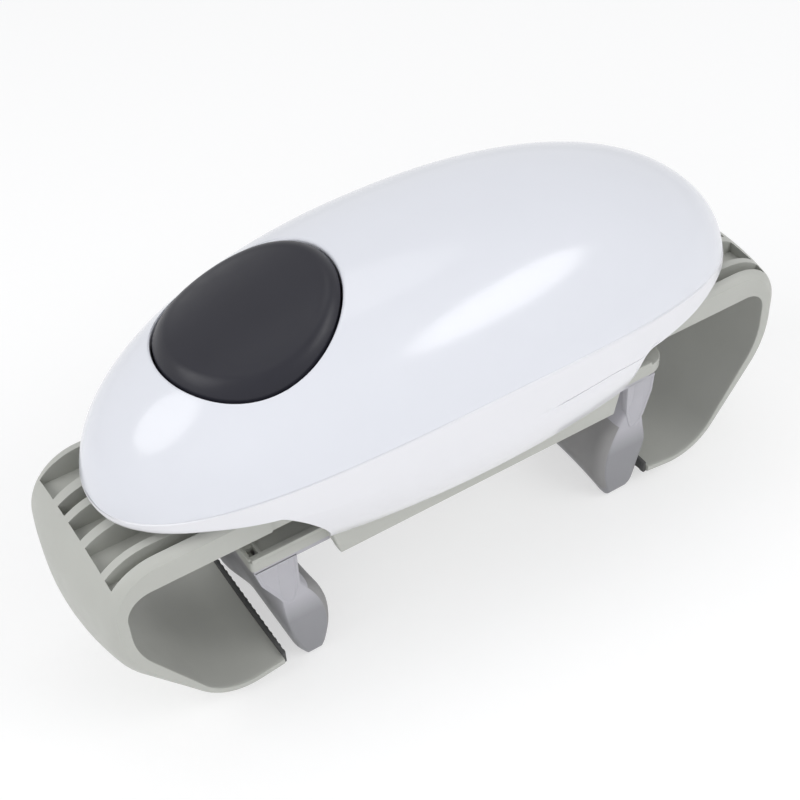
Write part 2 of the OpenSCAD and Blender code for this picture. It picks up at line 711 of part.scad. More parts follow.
module jar_pad() {
    low = lip_end(heel_r + arm_lip_t)[1];
    high = lip_end(heel_r)[1] + 1.2;
    translate([-lip_reach, 0, low]) {
        translate([0, -arm_wide / 2 + 1, 0]) cube([0.8, arm_wide - 2, high - low]);
        for (y = [-arm_wide / 2 + 1.5 : 2.4 : arm_wide / 2 - 2.5])
            translate([0.8 - eps, y, 0]) cube([0.5, 1.2, high - low]);
    }
}
module jar_pad_left() {
    color([0.32, 0.32, 0.34]) jar_pad();
}
module jar_pad_right() {
    color([0.32, 0.32, 0.34]) mirror([1, 0, 0]) jar_pad();
}

// ---------- carrier ----------
carrier_top = skirt_z - carrier_gap;
plate_z0 = 45.7;                       // underside of the end plates
plate_top = plate_z0 + plate_t;
rail_t = 3.2;                          // thickness of the side rails
grip_rack_low = plate_z0 + 0.2;
grip_rack_top = grip_rack_low + 3.2;
block_slope = 2;                       // the block's ends lean out towards the top
cavity_in = carrier_wide / 2 - rail_t;
slot_in = rack_pitch_r - 1.6;
slot_out = rack_back + rail_gap;
slot_end = plate_reach - 2.6;
guide_y = 19.5;                        // place and thickness of the grippers' guide bars
guide_t = 2;
plate_corner = 6;
sharp_corner = 1.2;
plate_rim = 1.8;                       // width of the raised rims on the end plates
rim_up = 1.1;                          // height of those rims
pocket_at = [plate_reach - 3.2, plate_wide / 2 - 5.2];
// The end plates have one sharp and one round corner each, and look the same after half a turn
module end_plates() {
    corners = [[1, 1, sharp_corner], [-1, 1, plate_corner], [-1, -1, sharp_corner],
               [1, -1, plate_corner]];
    linear_extrude(plate_t) polygon([for (k = [0 : 3], a = [0 : 15 : 90])
        let (c = corners[k])
        [c[0] * (plate_reach - c[2]) + c[2] * cos(a + 90 * k),
         c[1] * (plate_wide / 2 - c[2]) + c[2] * sin(a + 90 * k)]]);
}
// Rims and a rib on the end plate at +X, round the pocket in its sharp corner
module plate_trim() {
    from = carrier_len / 2;
    translate([from, plate_wide / 2 - plate_rim, plate_top - eps])
        cube([plate_reach - from - sharp_corner / 2, plate_rim, rim_up]);
    translate([from, -plate_wide / 2, plate_top - eps])
        cube([plate_reach - from - plate_corner, plate_rim, rim_up]);
    translate([plate_reach - 1, 8, plate_top - eps])
        cube([1, plate_wide / 2 - 8 - sharp_corner, rim_up * 0.6]);
    translate([pocket_at[0] - 0.9, pocket_at[1] - 3, plate_top - eps])
        cube([0.9, plate_wide / 2 - pocket_at[1] + 2.2, rim_up]);
}
module half_turns() {
    children();
    rotate([0, 0, 180]) children();
}
module carrier() {
    block_top_len = carrier_len + 2 * block_slope;
    deck = carrier_top - grip_rack_top - 0.3;
    color([0.74, 0.74, 0.7]) difference() {
        union() {
            across(carrier_wide) polygon([
                [-carrier_len / 2, carrier_low_z], [carrier_len / 2, carrier_low_z],
                [block_top_len / 2, carrier_top], [-block_top_len / 2, carrier_top]]);
            translate([0, 0, plate_z0]) end_plates();
            half_turns() plate_trim();
            translate([0, 0, carrier_top - eps])
                cylinder(r = hub_r, h = floor_top + 1.4 - carrier_top + 0.2);
            translate([0, 0, carrier_top - eps])
                cylinder(r = hub_r - 2.5, h = floor_top + 1.6 + ring_t - carrier_top);
        }
        // The cavity below the deck, where the grippers' slide plates run
        translate([-block_top_len, -cavity_in, plate_z0 - 4])
            cube([2 * block_top_len, 2 * cavity_in, 4]);
        translate([-carrier_len / 2 + 6, -cavity_in + 4, plate_z0 - 1])
            cube([carrier_len - 12, 2 * cavity_in - 8, carrier_top - deck - plate_z0 + 1]);
        // Slots for the rack bars and the guide bars
        for (sy = [-1, 1]) translate([-slot_end, sy > 0 ? slot_in : -slot_out, plate_z0 - 1])
            cube([2 * slot_end, slot_out - slot_in, grip_rack_top + 0.3 - plate_z0 + 1]);
        for (sy = [-1, 1]) translate([-slot_end, sy * guide_y - guide_t / 2 - rail_gap, plate_z0 - 1])
            cube([2 * slot_end, guide_t + 2 * rail_gap, 3.6]);
        half_turns() translate([pocket_at[0], pocket_at[1], plate_top - 1.6]) cube([2.2, 3.4, 3]);
        translate([0, 0, carrier_low_z]) cylinder(r = shaft_r + run_gap, h = 20);
    }
}
module carrier_ring() {
    color([0.6, 0.6, 0.62]) translate([0, 0, floor_top + 1.6])
        tube(hub_r + 2.2, hub_r - 2.5, ring_t);
}
module gripper_pinion() {
    color([0.93, 0.93, 0.9]) translate([0, 0, grip_rack_low])
        gear(pinion_teeth, rack_module, 0, 3.2, 1.5 + run_gap);
}
module pinion_screw() {
    color([0.6, 0.6, 0.62]) {
        translate([0, 0, grip_rack_low - 1.2]) cylinder(r = 3.2, h = 1);
        translate([0, 0, grip_rack_low - 0.4]) cylinder(r = 1.5, h = 3.9);
    }
}

// ---------- lid grippers ----------
slide_top = plate_z0 - 0.25;
slide_t = 2.2;
slide_in_x = -44;
tongue_far = 6.1;    // how far a tongue stands out from the wall
slide_far = grip_out_r + tongue_far;
grip_half = grip_wide / 2;
wall_top_z = slide_top - slide_t + eps;
// Sides of the hanging wall from its top down. The outer side is given as depth from the wall's
// outer face and height, the inner side as a share of the foot's thickness and height.
wall_out = [[0.4, wall_top_z], [0, 36], [0, 30], [0, 24], [0.3, 18], [1.6, 11], [3.4, 4],
            [5, 0.9], [5.9, -0.4]];
wall_in = [[0.3, wall_top_z], [0.32, 38.5], [0.45, 34], [0.67, 29], [0.88, 23.5], [1, 17.5],
           [1, 11], [0.9, 3.4], [0.78, -0.4]];
function wall_ease(y) = 0.4 * pow(max(0, 1 - (grip_half - abs(y)) / 3.4), 2);
function grip_depth(share, y) = (grip_foot_t - pad_t) * share
    - grip_dish * (1 - pow(y / grip_half, 2)) * max(0, (share - 0.35) / 0.65);
// The wall's outline at a place along Y, drawn in and lifted at both ends for their round edges
function wall_ring(y) = let (ease = wall_ease(y), n = len(wall_out)) [for (k = [0 : 2 * n - 1])
    let (i = k < n ? k : 2 * n - 1 - k,
         outer = wall_out[i],
         inner = [grip_depth(wall_in[i][0], y), wall_in[i][1]],
         middle = (outer + inner) / 2,
         p = middle + ((k < n ? outer : inner) - middle) * (1 - ease))
    [p[0] - grip_out_r, y, p[1] + 6 * ease * max(0, 1 - p[1] / 14)]];
wall_places = concat([for (d = [0, 0.7, 1.7, 3.4]) d - grip_half],
                     [for (k = [-2 : 2]) k * (grip_half - 3.4) / 3],
                     [for (d = [3.4, 1.7, 0.7, 0]) grip_half - d]);
module hanging_wall() {
    intersection() {
        swept([for (y = wall_places) wall_ring(y)]);
        translate([-grip_out_r - 5, -grip_wide, 0]) cube([grip_out_r, 2 * grip_wide, slide_top]);
    }
}
tongue_top_z = slide_top - slide_t + 1;
module tongue() {
    // A tapered tab with a rounded tip in front of the wall
    // Distances outwards from the wall's outer side, and heights
    line = [[tongue_far, tongue_top_z], [tongue_far - 1.4, 38], [-0.4, 28.6], [-1.8, 26.2],
            [-3.4, 26], [-4.8, 27.4], [-6.2, 33], [-6.4, tongue_top_z]];
    across(2.2) polygon([for (p = line) [-grip_out_r - p[0], p[1]]]);
}
module lid_gripper() {
    hanging_wall();
    for (sy = [-1, 1]) translate([0, sy * (grip_half - 1.1 + eps), 0]) tongue();
    translate([-slide_far, -grip_half, slide_top - slide_t])
        cube([slide_far + slide_in_x, grip_wide, slide_t]);
    rack(-slot_end + 0.8, -rack_travel - 7, rack_over, grip_rack_low, 3.2);
    translate([-slot_end + 0.8, -rack_back, slide_top - eps])
        cube([slot_end + slide_in_x - 0.8, rack_back - rack_in - 1, 1]);
    for (sy = [-1, 1]) translate([-slot_end + 0.8, sy * guide_y - guide_t / 2, slide_top - eps])
        cube([slot_end + slide_in_x - 8, guide_t, 2.4]);
}
module lid_gripper_left() {
    color([0.75, 0.75, 0.79]) lid_gripper();
}
module lid_gripper_right() {
    color([0.75, 0.75, 0.79]) rotate([0, 0, 180]) lid_gripper();
}
// The pad lies on the rows of the wall's inner side that these shares of its thickness belong to
pad_first = 3;
pad_shares = [0.25, 0.85, 1, 1, 0.6];
pad_lift = 0.05;      // gap between the pad and the wall
function pad_ring(y) = let (wall = wall_ring(y), last = len(wall) - 1 - pad_first,
        thick = pad_t * (1 - 5 * wall_ease(y)))
    concat([for (k = [0 : 4]) wall[last - k] + [pad_lift, 0, 0]],
           [for (k = [4 : -1 : 0]) wall[last - k] + [pad_lift + thick * pad_shares[k], 0, 0]]);
module lid_pad() {
    swept([for (k = [2 : len(wall_places) - 3]) pad_ring(wall_places[k])]);
}
module lid_pad_left() {
    color([0.55, 0.54, 0.52]) lid_pad();
}
module lid_pad_right() {
    color([0.55, 0.54, 0.52]) rotate([0, 0, 180]) lid_pad();
}

upper_shell();
lower_shell();
battery_door();
button();
button_spring();
switch();
circuit_board();
gear_base();
gear_plate();
gear_cover();
gear_pins();
motor();
motor_pinion();
first_gear();
second_gear();
drive_gear();
drive_shaft();
arm_pinion();
battery_upper();
battery_lower();
battery_contacts();
shell_screws();
jar_arm_left();
jar_arm_right();
jar_pad_left();
jar_pad_right();
carrier();
carrier_ring();
gripper_pinion();
pinion_screw();
lid_gripper_left();
lid_gripper_right();
lid_pad_left();
lid_pad_right();
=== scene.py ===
# %% [markdown]
# # An electric jar opener
# This lesson dresses a CAD jar opener for a studio photograph. The housing is a glossy egg with
# one large charcoal button. A C-shaped arm slides out of each end and closes on the jar, and
# under the housing a carrier with two grippers closes on the lid and turns it.
# The CAD parts are loaded first and never move. Each visible part is then modelled again with
# finer curves, in the same place, and rides on the same body.

# %% Load the CAD frame
import json
import math
import bpy
import bmesh
from mathutils import Matrix, Vector


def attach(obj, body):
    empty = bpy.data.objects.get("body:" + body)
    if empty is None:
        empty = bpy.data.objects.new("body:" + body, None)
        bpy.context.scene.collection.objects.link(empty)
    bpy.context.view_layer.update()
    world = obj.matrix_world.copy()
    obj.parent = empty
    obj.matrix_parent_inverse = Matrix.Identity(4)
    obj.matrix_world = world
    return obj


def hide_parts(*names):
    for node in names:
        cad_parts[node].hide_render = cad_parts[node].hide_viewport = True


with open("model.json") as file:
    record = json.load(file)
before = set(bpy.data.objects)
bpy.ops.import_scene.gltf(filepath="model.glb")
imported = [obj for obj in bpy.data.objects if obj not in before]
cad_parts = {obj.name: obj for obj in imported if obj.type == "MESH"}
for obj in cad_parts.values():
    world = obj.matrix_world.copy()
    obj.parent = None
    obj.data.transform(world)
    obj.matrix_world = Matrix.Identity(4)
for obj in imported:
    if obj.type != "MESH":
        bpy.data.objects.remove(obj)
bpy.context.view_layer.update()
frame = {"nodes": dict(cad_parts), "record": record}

# %% [markdown]
# ## Camera
# The photograph looks down at the long side from the left front, with a slight roll. The place
# and lens were found by matching the outline of the egg, its seam and the arms in the picture.

# %% The camera
MM = 0.001
CAMERA_AZIMUTH = -0.521
CAMERA_HEIGHT = 0.766
CAMERA_ROLL = 0.064
CAMERA_DISTANCE = 419.62
CAMERA_AIM = (6.396, -0.185)
AIM_HIGH = 50.5
FOCAL_PIXELS = 1515.67
PICTURE_PIXELS = 800

back = Vector((math.sin(CAMERA_AZIMUTH) * math.cos(CAMERA_HEIGHT),
               -math.cos(CAMERA_AZIMUTH) * math.cos(CAMERA_HEIGHT),
               math.sin(CAMERA_HEIGHT)))
level = Vector((math.cos(CAMERA_AZIMUTH), math.sin(CAMERA_AZIMUTH), 0))
above = back.cross(level)
turn_cos, turn_sin = math.cos(CAMERA_ROLL), math.sin(CAMERA_ROLL)
right = level * turn_cos - above * turn_sin
up = level * turn_sin + above * turn_cos
place = -right * CAMERA_AIM[0] - up * CAMERA_AIM[1] + back * CAMERA_DISTANCE
camera_data = bpy.data.cameras.new("camera")
camera_data.sensor_width = 36
camera_data.lens = FOCAL_PIXELS / PICTURE_PIXELS * camera_data.sensor_width
camera_data.clip_start = 0.01
camera = bpy.data.objects.new("camera", camera_data)
bpy.context.scene.collection.objects.link(camera)
camera.matrix_world = Matrix([
    [right[0], up[0], back[0], place[0] * MM],
    [right[1], up[1], back[1], place[1] * MM],
    [right[2], up[2], back[2], (place[2] + AIM_HIGH) * MM],
    [0, 0, 0, 1]])
bpy.context.scene.camera = camera
print("camera at", camera.location, "lens", round(camera_data.lens, 2))

# %% [markdown]
# ## Helpers for modelling
# A smooth moulded form is easiest to make as a grid primitive whose points are pulled onto a
# formula: the grid gives even quads, and the formula gives the exact surface. Straight parts
# start as a circle of points laid on a profile, which is filled and extruded, as by hand.

# %% Helpers: selection and edit mode
SHARP = math.radians(38)
MERGE_GAP = 0.000002


def deselect():
    for other in list(bpy.context.selected_objects):
        other.select_set(False)


def only(piece):
    deselect()
    piece.select_set(True)
    bpy.context.view_layer.objects.active = piece


def edit(piece, *steps):
    """Runs edit-mode operators on everything that the piece has."""
    only(piece)
    bpy.ops.object.mode_set(mode="EDIT")
    bpy.ops.mesh.select_all(action="SELECT")
    for step in steps:
        step()
    bpy.ops.object.mode_set(mode="OBJECT")


def merge():
    bpy.ops.mesh.remove_doubles(threshold=MERGE_GAP)


def face_out():
    bpy.ops.mesh.normals_make_consistent(inside=False)


def smooth(piece, angle=SHARP):
    only(piece)
    bpy.ops.object.shade_smooth_by_angle(angle=angle)
    return piece


def bare(piece):
    """Takes off the material slots that an operator brought along."""
    piece.data.materials.clear()
    return piece


def tell(*pieces):
    for piece in pieces:
        print(piece.name, len(piece.data.polygons), "faces")


# %% Helpers: grids and extruded profiles
def ringed(name, rings, ends="joined"):
    """A grid primitive laid on closed rings of points: its ends are joined, filled or open."""
    if ends == "joined":
        rings = rings + rings[:1]
    around = len(rings[0])
    deselect()
    bpy.ops.mesh.primitive_grid_add(x_subdivisions=around, y_subdivisions=len(rings) - 1, size=1)
    piece = bpy.context.object
    piece.name = piece.data.name = name
    for number, vertex in enumerate(piece.data.vertices):
        row, column = divmod(number, around + 1)
        vertex.co = Vector(rings[row][column % around]) * MM
    edit(piece, merge)
    if ends == "filled":
        edit(piece, lambda: bpy.ops.mesh.fill_holes(sides=0))
    edit(piece, face_out)
    return piece


def outline(name, points, plane, depth):
    """A filled outline of points (a, b) in the plane "xz", "yz" or "xy", extruded over depth."""
    deselect()
    bpy.ops.mesh.primitive_circle_add(vertices=len(points), fill_type="NGON")
    piece = bpy.context.object
    piece.name = piece.data.name = name
    low, high = depth
    lay = {"xz": lambda a, b, c: (a, c, b), "yz": lambda a, b, c: (c, a, b),
           "xy": lambda a, b, c: (a, b, c)}[plane]
    for vertex, (a, b) in zip(piece.data.vertices, points):
        vertex.co = Vector(lay(a, b, low)) * MM
    way = Vector(lay(0, 0, high - low)) * MM
    edit(piece, lambda: bpy.ops.mesh.extrude_region_move(
        TRANSFORM_OT_translate={"value": way}))
    edit(piece, face_out)
    return piece


def circle(radius, count, x=0):
    """Points of a full circle round (x, 0)."""
    return [(x + radius * math.cos(2 * math.pi * k / count),
             radius * math.sin(2 * math.pi * k / count)) for k in range(count)]


# %% Helpers: modifiers, copies and bars
def modify(piece, kind, **settings):
    only(piece)
    modifier = piece.modifiers.new(kind.lower(), kind)
    for key, value in settings.items():
        setattr(modifier, key, value)
    bpy.ops.object.modifier_apply(modifier=modifier.name)
    return piece


def bevel(piece, width, segments, angle=None):
    """Bevels all edges, or those that turn by more than an angle in degrees."""
    limit = {"limit_method": "ANGLE", "angle_limit": math.radians(angle)} if angle else {}
    return modify(piece, "BEVEL", width=width * MM, segments=segments, **limit)


def cut(piece, tool, operation="DIFFERENCE", keep=False):
    modify(piece, "BOOLEAN", object=tool, operation=operation, solver="EXACT")
    if not keep:
        bpy.data.objects.remove(tool)
    return piece


def copy(piece, name):
    twin = piece.copy()
    twin.data = piece.data.copy()
    twin.name = twin.data.name = name
    bpy.context.scene.collection.objects.link(twin)
    return twin


def flipped(piece, name, x=-1, y=1):
    """A copy mirrored across X, Y or both, with its faces turned out again."""
    twin = copy(piece, name)
    for vertex in twin.data.vertices:
        vertex.co.x *= x
        vertex.co.y *= y
    edit(twin, face_out)
    return twin


def bar(name, low, high, soft=0.0, segments=2):
    """A cube primitive moved and scaled in edit mode between two corners, with bevelled edges."""
    deselect()
    bpy.ops.mesh.primitive_cube_add(size=1)
    piece = bpy.context.object
    piece.name = piece.data.name = name
    size = [(b - a) * MM for a, b in zip(low, high)]
    middle = [(a + b) / 2 * MM for a, b in zip(low, high)]
    edit(piece, lambda: bpy.ops.transform.resize(value=size),
         lambda: bpy.ops.transform.translate(value=middle))
    if soft:
        bevel(piece, soft, segments)
    return piece


def turned_bar(side, name, low, high, *soft):
    """A bar that is turned half round the Z axis where side is -1."""
    (x_low, x_high), (y_low, y_high) = [sorted((side * a, side * b))
                                        for a, b in zip(low[:2], high[:2])]
    return bar(name, (x_low, y_low, low[2]), (x_high, y_high, high[2]), *soft)


def join(first, *others):
    deselect()
    for piece in (first, *others):
        piece.select_set(True)
    bpy.context.view_layer.objects.active = first
    bpy.ops.object.join()
    return first


# %% Helpers: numbers
def blend_in(value, low, high):
    """0 below low, 1 above high and a smooth ramp between."""
    share = min(1, max(0, (value - low) / (high - low)))
    return share * share * (3 - 2 * share)


def mix(a, b, share):
    return a + (b - a) * share


# %% [markdown]
# ## The egg
# Seen from above and from the side the housing is a superellipse, a little squarer than an
# ellipse. The seam and the lower rim both dip towards the tips. Two numbers say where a point
# lies: its direction in plan and its height. These functions are shared by both shells.

# %% Shape of the egg
EGG_HALF_LONG = 97
EGG_HALF_WIDE = 44.1
EGG_MIDDLE = 65.7
DOME_HIGH = 49.36
PLAN_POWER = 2.17
DOME_POWER = 2.2
WALL = 2.2
SEAM_TOP = 85.6
SEAM_DIP = 14.1
RIM_TOP = 74.4
RIM_DIP = 5.3
SEAM_ROUNDS = 8


def signed_power(value, power):
    return math.copysign(abs(value) ** power, value)


def direction(angle, power=PLAN_POWER):
    return (signed_power(math.cos(angle), 2 / power), signed_power(math.sin(angle), 2 / power))


def shrink(rise):
    """Size of the egg's plan at a height, given as a share of the dome's height."""
    return max(0, 1 - abs(rise) ** DOME_POWER) ** (1 / DOME_POWER)


def seam_high(x):
    return SEAM_TOP - SEAM_DIP * (x / EGG_HALF_LONG) ** 2


def rim_high(x):
    return RIM_TOP - RIM_DIP * (x / EGG_HALF_LONG) ** 2


def on_seam(way):
    """Share of the dome's height at which the egg meets the seam, in a plan direction."""
    rise = 0
    for _ in range(SEAM_ROUNDS):
        rise = (seam_high(EGG_HALF_LONG * way[0] * shrink(rise)) - EGG_MIDDLE) / DOME_HIGH
    return rise


def egg_point(way, rise, inset=0):
    return Vector(((EGG_HALF_LONG - inset) * way[0] * shrink(rise),
                   (EGG_HALF_WIDE - inset) * way[1] * shrink(rise),
                   EGG_MIDDLE + (DOME_HIGH - inset) * rise))


def across(x, y):
    """Share of the way from the egg's middle to its edge in plan."""
    return ((abs(x) / EGG_HALF_LONG) ** PLAN_POWER
            + (abs(y) / EGG_HALF_WIDE) ** PLAN_POWER) ** (1 / PLAN_POWER)


def dome_high(x, y):
    return EGG_MIDDLE + DOME_HIGH * shrink(across(x, y))


print("the seam dips from", seam_high(0), "to", round(seam_high(EGG_HALF_LONG), 2), "mm")

# %% [markdown]
# ## The upper shell
# The dome has a round hole for the button, well off its middle. A boolean cut would leave long
# thin faces round that hole and spoil the gloss, so the grid runs from the seam to the hole:
# each of its rays starts on the hole's edge and ends on the seam. The rays are drawn on a flat
# map of the dome, where the distance from the centre is the angle from the top.

# %% Flat map of the dome
BUTTON_X = -48.6
BUTTON_R = 23.3
BUTTON_GAP = 0.6
HOLE_R = BUTTON_R + BUTTON_GAP
RAYS = 288


def map_place(x, y):
    """Place on the flat map of the dome for a place in plan."""
    angle = math.atan2(signed_power(y / EGG_HALF_WIDE, PLAN_POWER / 2),
                       signed_power(x / EGG_HALF_LONG, PLAN_POWER / 2))
    steep = math.acos(min(1, across(x, y)) ** (DOME_POWER / 2))
    far = 1 - steep / (math.pi / 2)
    return Vector((far * math.cos(angle), far * math.sin(angle)))


def from_map(spot, inset=0):
    """Place on the dome for a place on the flat map."""
    steep = (1 - min(1, spot.length)) * math.pi / 2
    return egg_point(direction(math.atan2(spot.y, spot.x)),
                     math.sin(steep) ** (2 / DOME_POWER), inset)


# %% Rays from the seam to the hole
seam_round = []
for number in range(RAYS):
    way = direction(2 * math.pi * number / RAYS)
    seam_round.append(egg_point(way, on_seam(way)))
button_at = Vector((BUTTON_X, 0, 0))
away_round = [Vector((point.x - BUTTON_X, point.y, 0)).normalized() for point in seam_round]
out_round = [Vector((point.x, point.y, 0)).normalized() for point in seam_round]
seam_map = [map_place(point.x, point.y) for point in seam_round]
hole_map = [map_place(*(button_at + away * HOLE_R).xy) for away in away_round]
print(RAYS, "rays, hole radius", HOLE_R)

# %% Upper shell
GROOVE = 0.5
COLLAR = 9
COLLAR_T = 1.6
DOME_ROWS = 60
FIRST_SHARE = 0.004
DOME_SHARE = 0.982
ROW_POWER = 0.9
INNER_SHARES = [0.93 - 0.125 * row for row in range(8)]
# How far outside the hole and how far below the dome each ring of its edge lies
HOLE_EDGE = [(0.75, 0), (0.4, 0.1), (0.15, 0.3), (0, 0.62), (0, 1.4), (0, COLLAR),
             (COLLAR_T, COLLAR)]


def hole_ring(aside, down):
    ring = []
    for away in away_round:
        edge = button_at + away * (HOLE_R + aside)
        ring.append(Vector((edge.x, edge.y, dome_high(edge.x, edge.y) - down)))
    return ring


def dome_ring(share, inset=0):
    """Ring of the dome at a share of the way from the seam to the hole."""
    return [from_map(low.lerp(high, share), inset) for low, high in zip(seam_map, hole_map)]


dome_rings = [[point - out * inset for point, out in zip(seam_round, out_round)]
              for inset in (WALL, GROOVE)]
dome_rings += [dome_ring(FIRST_SHARE + DOME_SHARE * (row / (DOME_ROWS - 1)) ** ROW_POWER)
               for row in range(DOME_ROWS)]
dome_rings += [hole_ring(*place) for place in HOLE_EDGE]
dome_rings += [dome_ring(share, WALL) for share in INNER_SHARES]
upper_shell = smooth(ringed("upper_shell_dome", dome_rings))
tell(upper_shell)

# %% [markdown]
# ## The lower shell
# Below the seam the egg goes on as a band and then tapers into a skirt. Over each jar arm the
# skirt is cut away in an arch, and a fine crease under the band runs out towards the squarer
# arches. The grid's columns are crowded where an arch rises, so that its edge stays smooth, and
# every column ends on the arch's own line.

# %% Lines of the lower shell
SKIRT_LOW = 52.1
SKIRT_HALF_WIDE = 33.4
SKIRT_HALF = 47.2
SKIRT_POWER = 2.03
SKIRT_BULGE = 1.7
# Where each kind of arch starts and ends along X, and its power
ARCH_LEFT = (SKIRT_HALF, 62, 1.5)
ARCH_RIGHT = (40.8, 50, 3)
ARCH_LIFT = 0.6
LIFT_FADE = (75, 90)
HALVINGS = 40


def lower_point(angle, high, inset=0):
    """Place on the band or the skirt at a plan angle and a height."""
    way = direction(angle)
    rise = (high - EGG_MIDDLE) / DOME_HIGH
    rim = rim_high(EGG_HALF_LONG * way[0])
    if high >= rim:
        return egg_point(way, rise, inset)
    down = (rim - high) / (rim - SKIRT_LOW)
    way = direction(angle, mix(PLAN_POWER, SKIRT_POWER, down))
    top = shrink((rim - EGG_MIDDLE) / DOME_HIGH)
    side = mix(SKIRT_HALF_WIDE, EGG_HALF_WIDE * top, 1 - down ** SKIRT_BULGE)
    return Vector(((EGG_HALF_LONG * top - inset) * way[0], (side - inset) * way[1], high))


def edge_top(x):
    """Height of the band's lower edge over the arm."""
    return rim_high(x) + ARCH_LIFT * (1 - blend_in(abs(x), *LIFT_FADE))


def arch_high(x, side):
    """Height of the shell's lower edge: the front left and back right arches are rounder."""
    start, end, power = side
    x = abs(x)
    if x <= start:
        return SKIRT_LOW
    if x >= end:
        return edge_top(x)
    part = (end - x) / (end - start)
    return SKIRT_LOW + (edge_top(end) - SKIRT_LOW) * (1 - part ** power) ** (1 / power)


def edge_high(angle):
    """Height at which a column meets the edge, found by halving."""
    low, high = SKIRT_LOW, SEAM_TOP
    for _ in range(HALVINGS):
        middle = (low + high) / 2
        point = lower_point(angle, middle)
        if middle < arch_high(point.x, ARCH_LEFT if point.x * point.y > 0 else ARCH_RIGHT):
            low = middle
        else:
            high = middle
    return (low + high) / 2


print("arches from x", ARCH_LEFT[0], "and", ARCH_RIGHT[0], "mm")

# %% Columns of the lower shell
TIP_COLUMNS = 34


def angle_of(x):
    """Plan angle of the column that leaves the rim at x."""
    return math.acos(min(1, x / EGG_HALF_LONG) ** (PLAN_POWER / 2))


# The stops along X are closest where the squarer arch rises
stops = [2.0 * k for k in range(20)] + [39.2, 40, 40.5, 40.8, 40.9, 41, 41.15, 41.35, 41.6, 41.9,
                                       42.3, 42.8, 43.4, 44.2, 45.2]
stops += [46 + 0.4 * k for k in range(42)] + [64, 66, 68, 70]
quarter = [angle_of(x) for x in stops]
last = quarter[-1]
quarter += [last * (1 - (k + 1) / TIP_COLUMNS) for k in range(TIP_COLUMNS)]
angles = ([a for a in quarter] + [-a for a in quarter[-2::-1]]
          + [a - math.pi for a in quarter[1:]] + [math.pi - a for a in quarter[-2:0:-1]])
print("lower shell columns", len(angles))

# %% The crease
CREASE_LIFT = 1.3
CREASE_DROP = 1.2
CREASE_FALL = (28, 46)
CREASE_DEEP = 1.5
CREASE_WIDE = 0.6
CREASE_START = (7, 26)
CREASE_END = (44, 50)
# The skirt stays inset by a share of the crease's depth, which fades within a few millimetres
SKIRT_INSET = 0.3
INSET_FADE = 6


def crease_high(x):
    """Height of the band's lower edge, which drops from the rim towards the arch."""
    return rim_high(x) + CREASE_LIFT - CREASE_DROP * blend_in(abs(x), *CREASE_FALL)


def crease_deep(x, y):
    """Depth of the crease under the band: at the front right and the back left only."""
    if x * y >= 0:
        return 0
    return (CREASE_DEEP * blend_in(abs(x), *CREASE_START)
            * (1 - blend_in(abs(x), *CREASE_END)))


print("crease", CREASE_DEEP, "mm deep and", CREASE_WIDE, "mm wide")

# %% Lower shell
BAND_ROWS = 14
SKIRT_ROWS = 18
ROUND_STEPS = 5
EDGE_ROUND = (0.7, 2.2)
EDGE_SOFT = (62, 85)
INNER_ROWS = (0.3, 0.7)
TINY = 0.001


def lower_column(angle):
    """One column: from the wall's inside over the seam and down to the edge, and back inside."""
    low = edge_high(angle)
    way = direction(angle)
    rise = on_seam(way)
    top = EGG_MIDDLE + DOME_HIGH * rise
    start = lower_point(angle, top)
    radius = min(mix(*EDGE_ROUND, blend_in(abs(start.x), *EDGE_SOFT)), 0.6 * (top - low))
    ahead = lower_point(angle + TINY, top) - lower_point(angle - TINY, top)
    out = Vector((ahead.y, -ahead.x, 0)).normalized()
    if out.dot(start) < 0:
        out = -out
    column = [start - out * WALL, start - out * GROOVE]
    first = top - GROOVE
    crease = max(crease_high(start.x), low + radius + CREASE_WIDE + 0.2)
    deep = crease_deep(start.x, start.y)

    def skin(high, share=SKIRT_INSET):
        fold = max(0, 1 - (crease - high) / INSET_FADE)
        return lower_point(angle, high) - out * deep * share * fold * fold

    for row in range(BAND_ROWS):
        column.append(lower_point(angle, mix(first, crease, row / (BAND_ROWS - 1))))
    column += [skin(crease - 0.05, 1), skin(crease - CREASE_WIDE + 0.1, 1)]
    for row in range(SKIRT_ROWS):
        column.append(skin(mix(crease - CREASE_WIDE, low + radius, row / (SKIRT_ROWS - 1))))
    for step in range(1, ROUND_STEPS + 1):
        turn = math.pi / 2 * step / ROUND_STEPS
        column.append(skin(low + radius * (1 - math.sin(turn)))
                      - out * radius * (1 - math.cos(turn)))
    foot = lower_point(angle, low)
    column.append(foot - out * max(WALL, radius + 0.3))
    for share in INNER_ROWS:
        column.append(lower_point(angle, mix(low, top, share)) - out * WALL)
    return column


columns = [lower_column(angle) for angle in angles]
lower_shell = smooth(ringed("lower_shell_band", [list(ring) for ring in zip(*columns)]))
tell(lower_shell)

# %% [markdown]
# ## The battery door
# The hidden back of such an opener has a door for the cells. It is cut out of the same skin as
# the shell, so that its face follows the curve, and a narrow gap is left round it.

# %% Battery door
DOOR_HALF = 29
DOOR_LOW = 56.6
DOOR_HIGH = 81.4
DOOR_GAP = 0.3
DOOR_CORNER = 3
GROOVE_HALF = 9
GROOVE_ROUND = 1.1
GROOVE_HIGH = 78.2
GROOVE_FLOOR = 39.4
BEYOND = 60


def rounded_outline(half_wide, half_high, corner, steps=6, centre=(0, 0)):
    """Points of a rectangle with round corners, anticlockwise."""
    points = []
    for quarter_turn, (sx, sy) in enumerate(((1, 1), (-1, 1), (-1, -1), (1, -1))):
        for step in range(steps + 1):
            turn = math.pi / 2 * (quarter_turn + step / steps)
            points.append((centre[0] + sx * (half_wide - corner) + corner * math.cos(turn),
                           centre[1] + sy * (half_high - corner) + corner * math.sin(turn)))
    return points


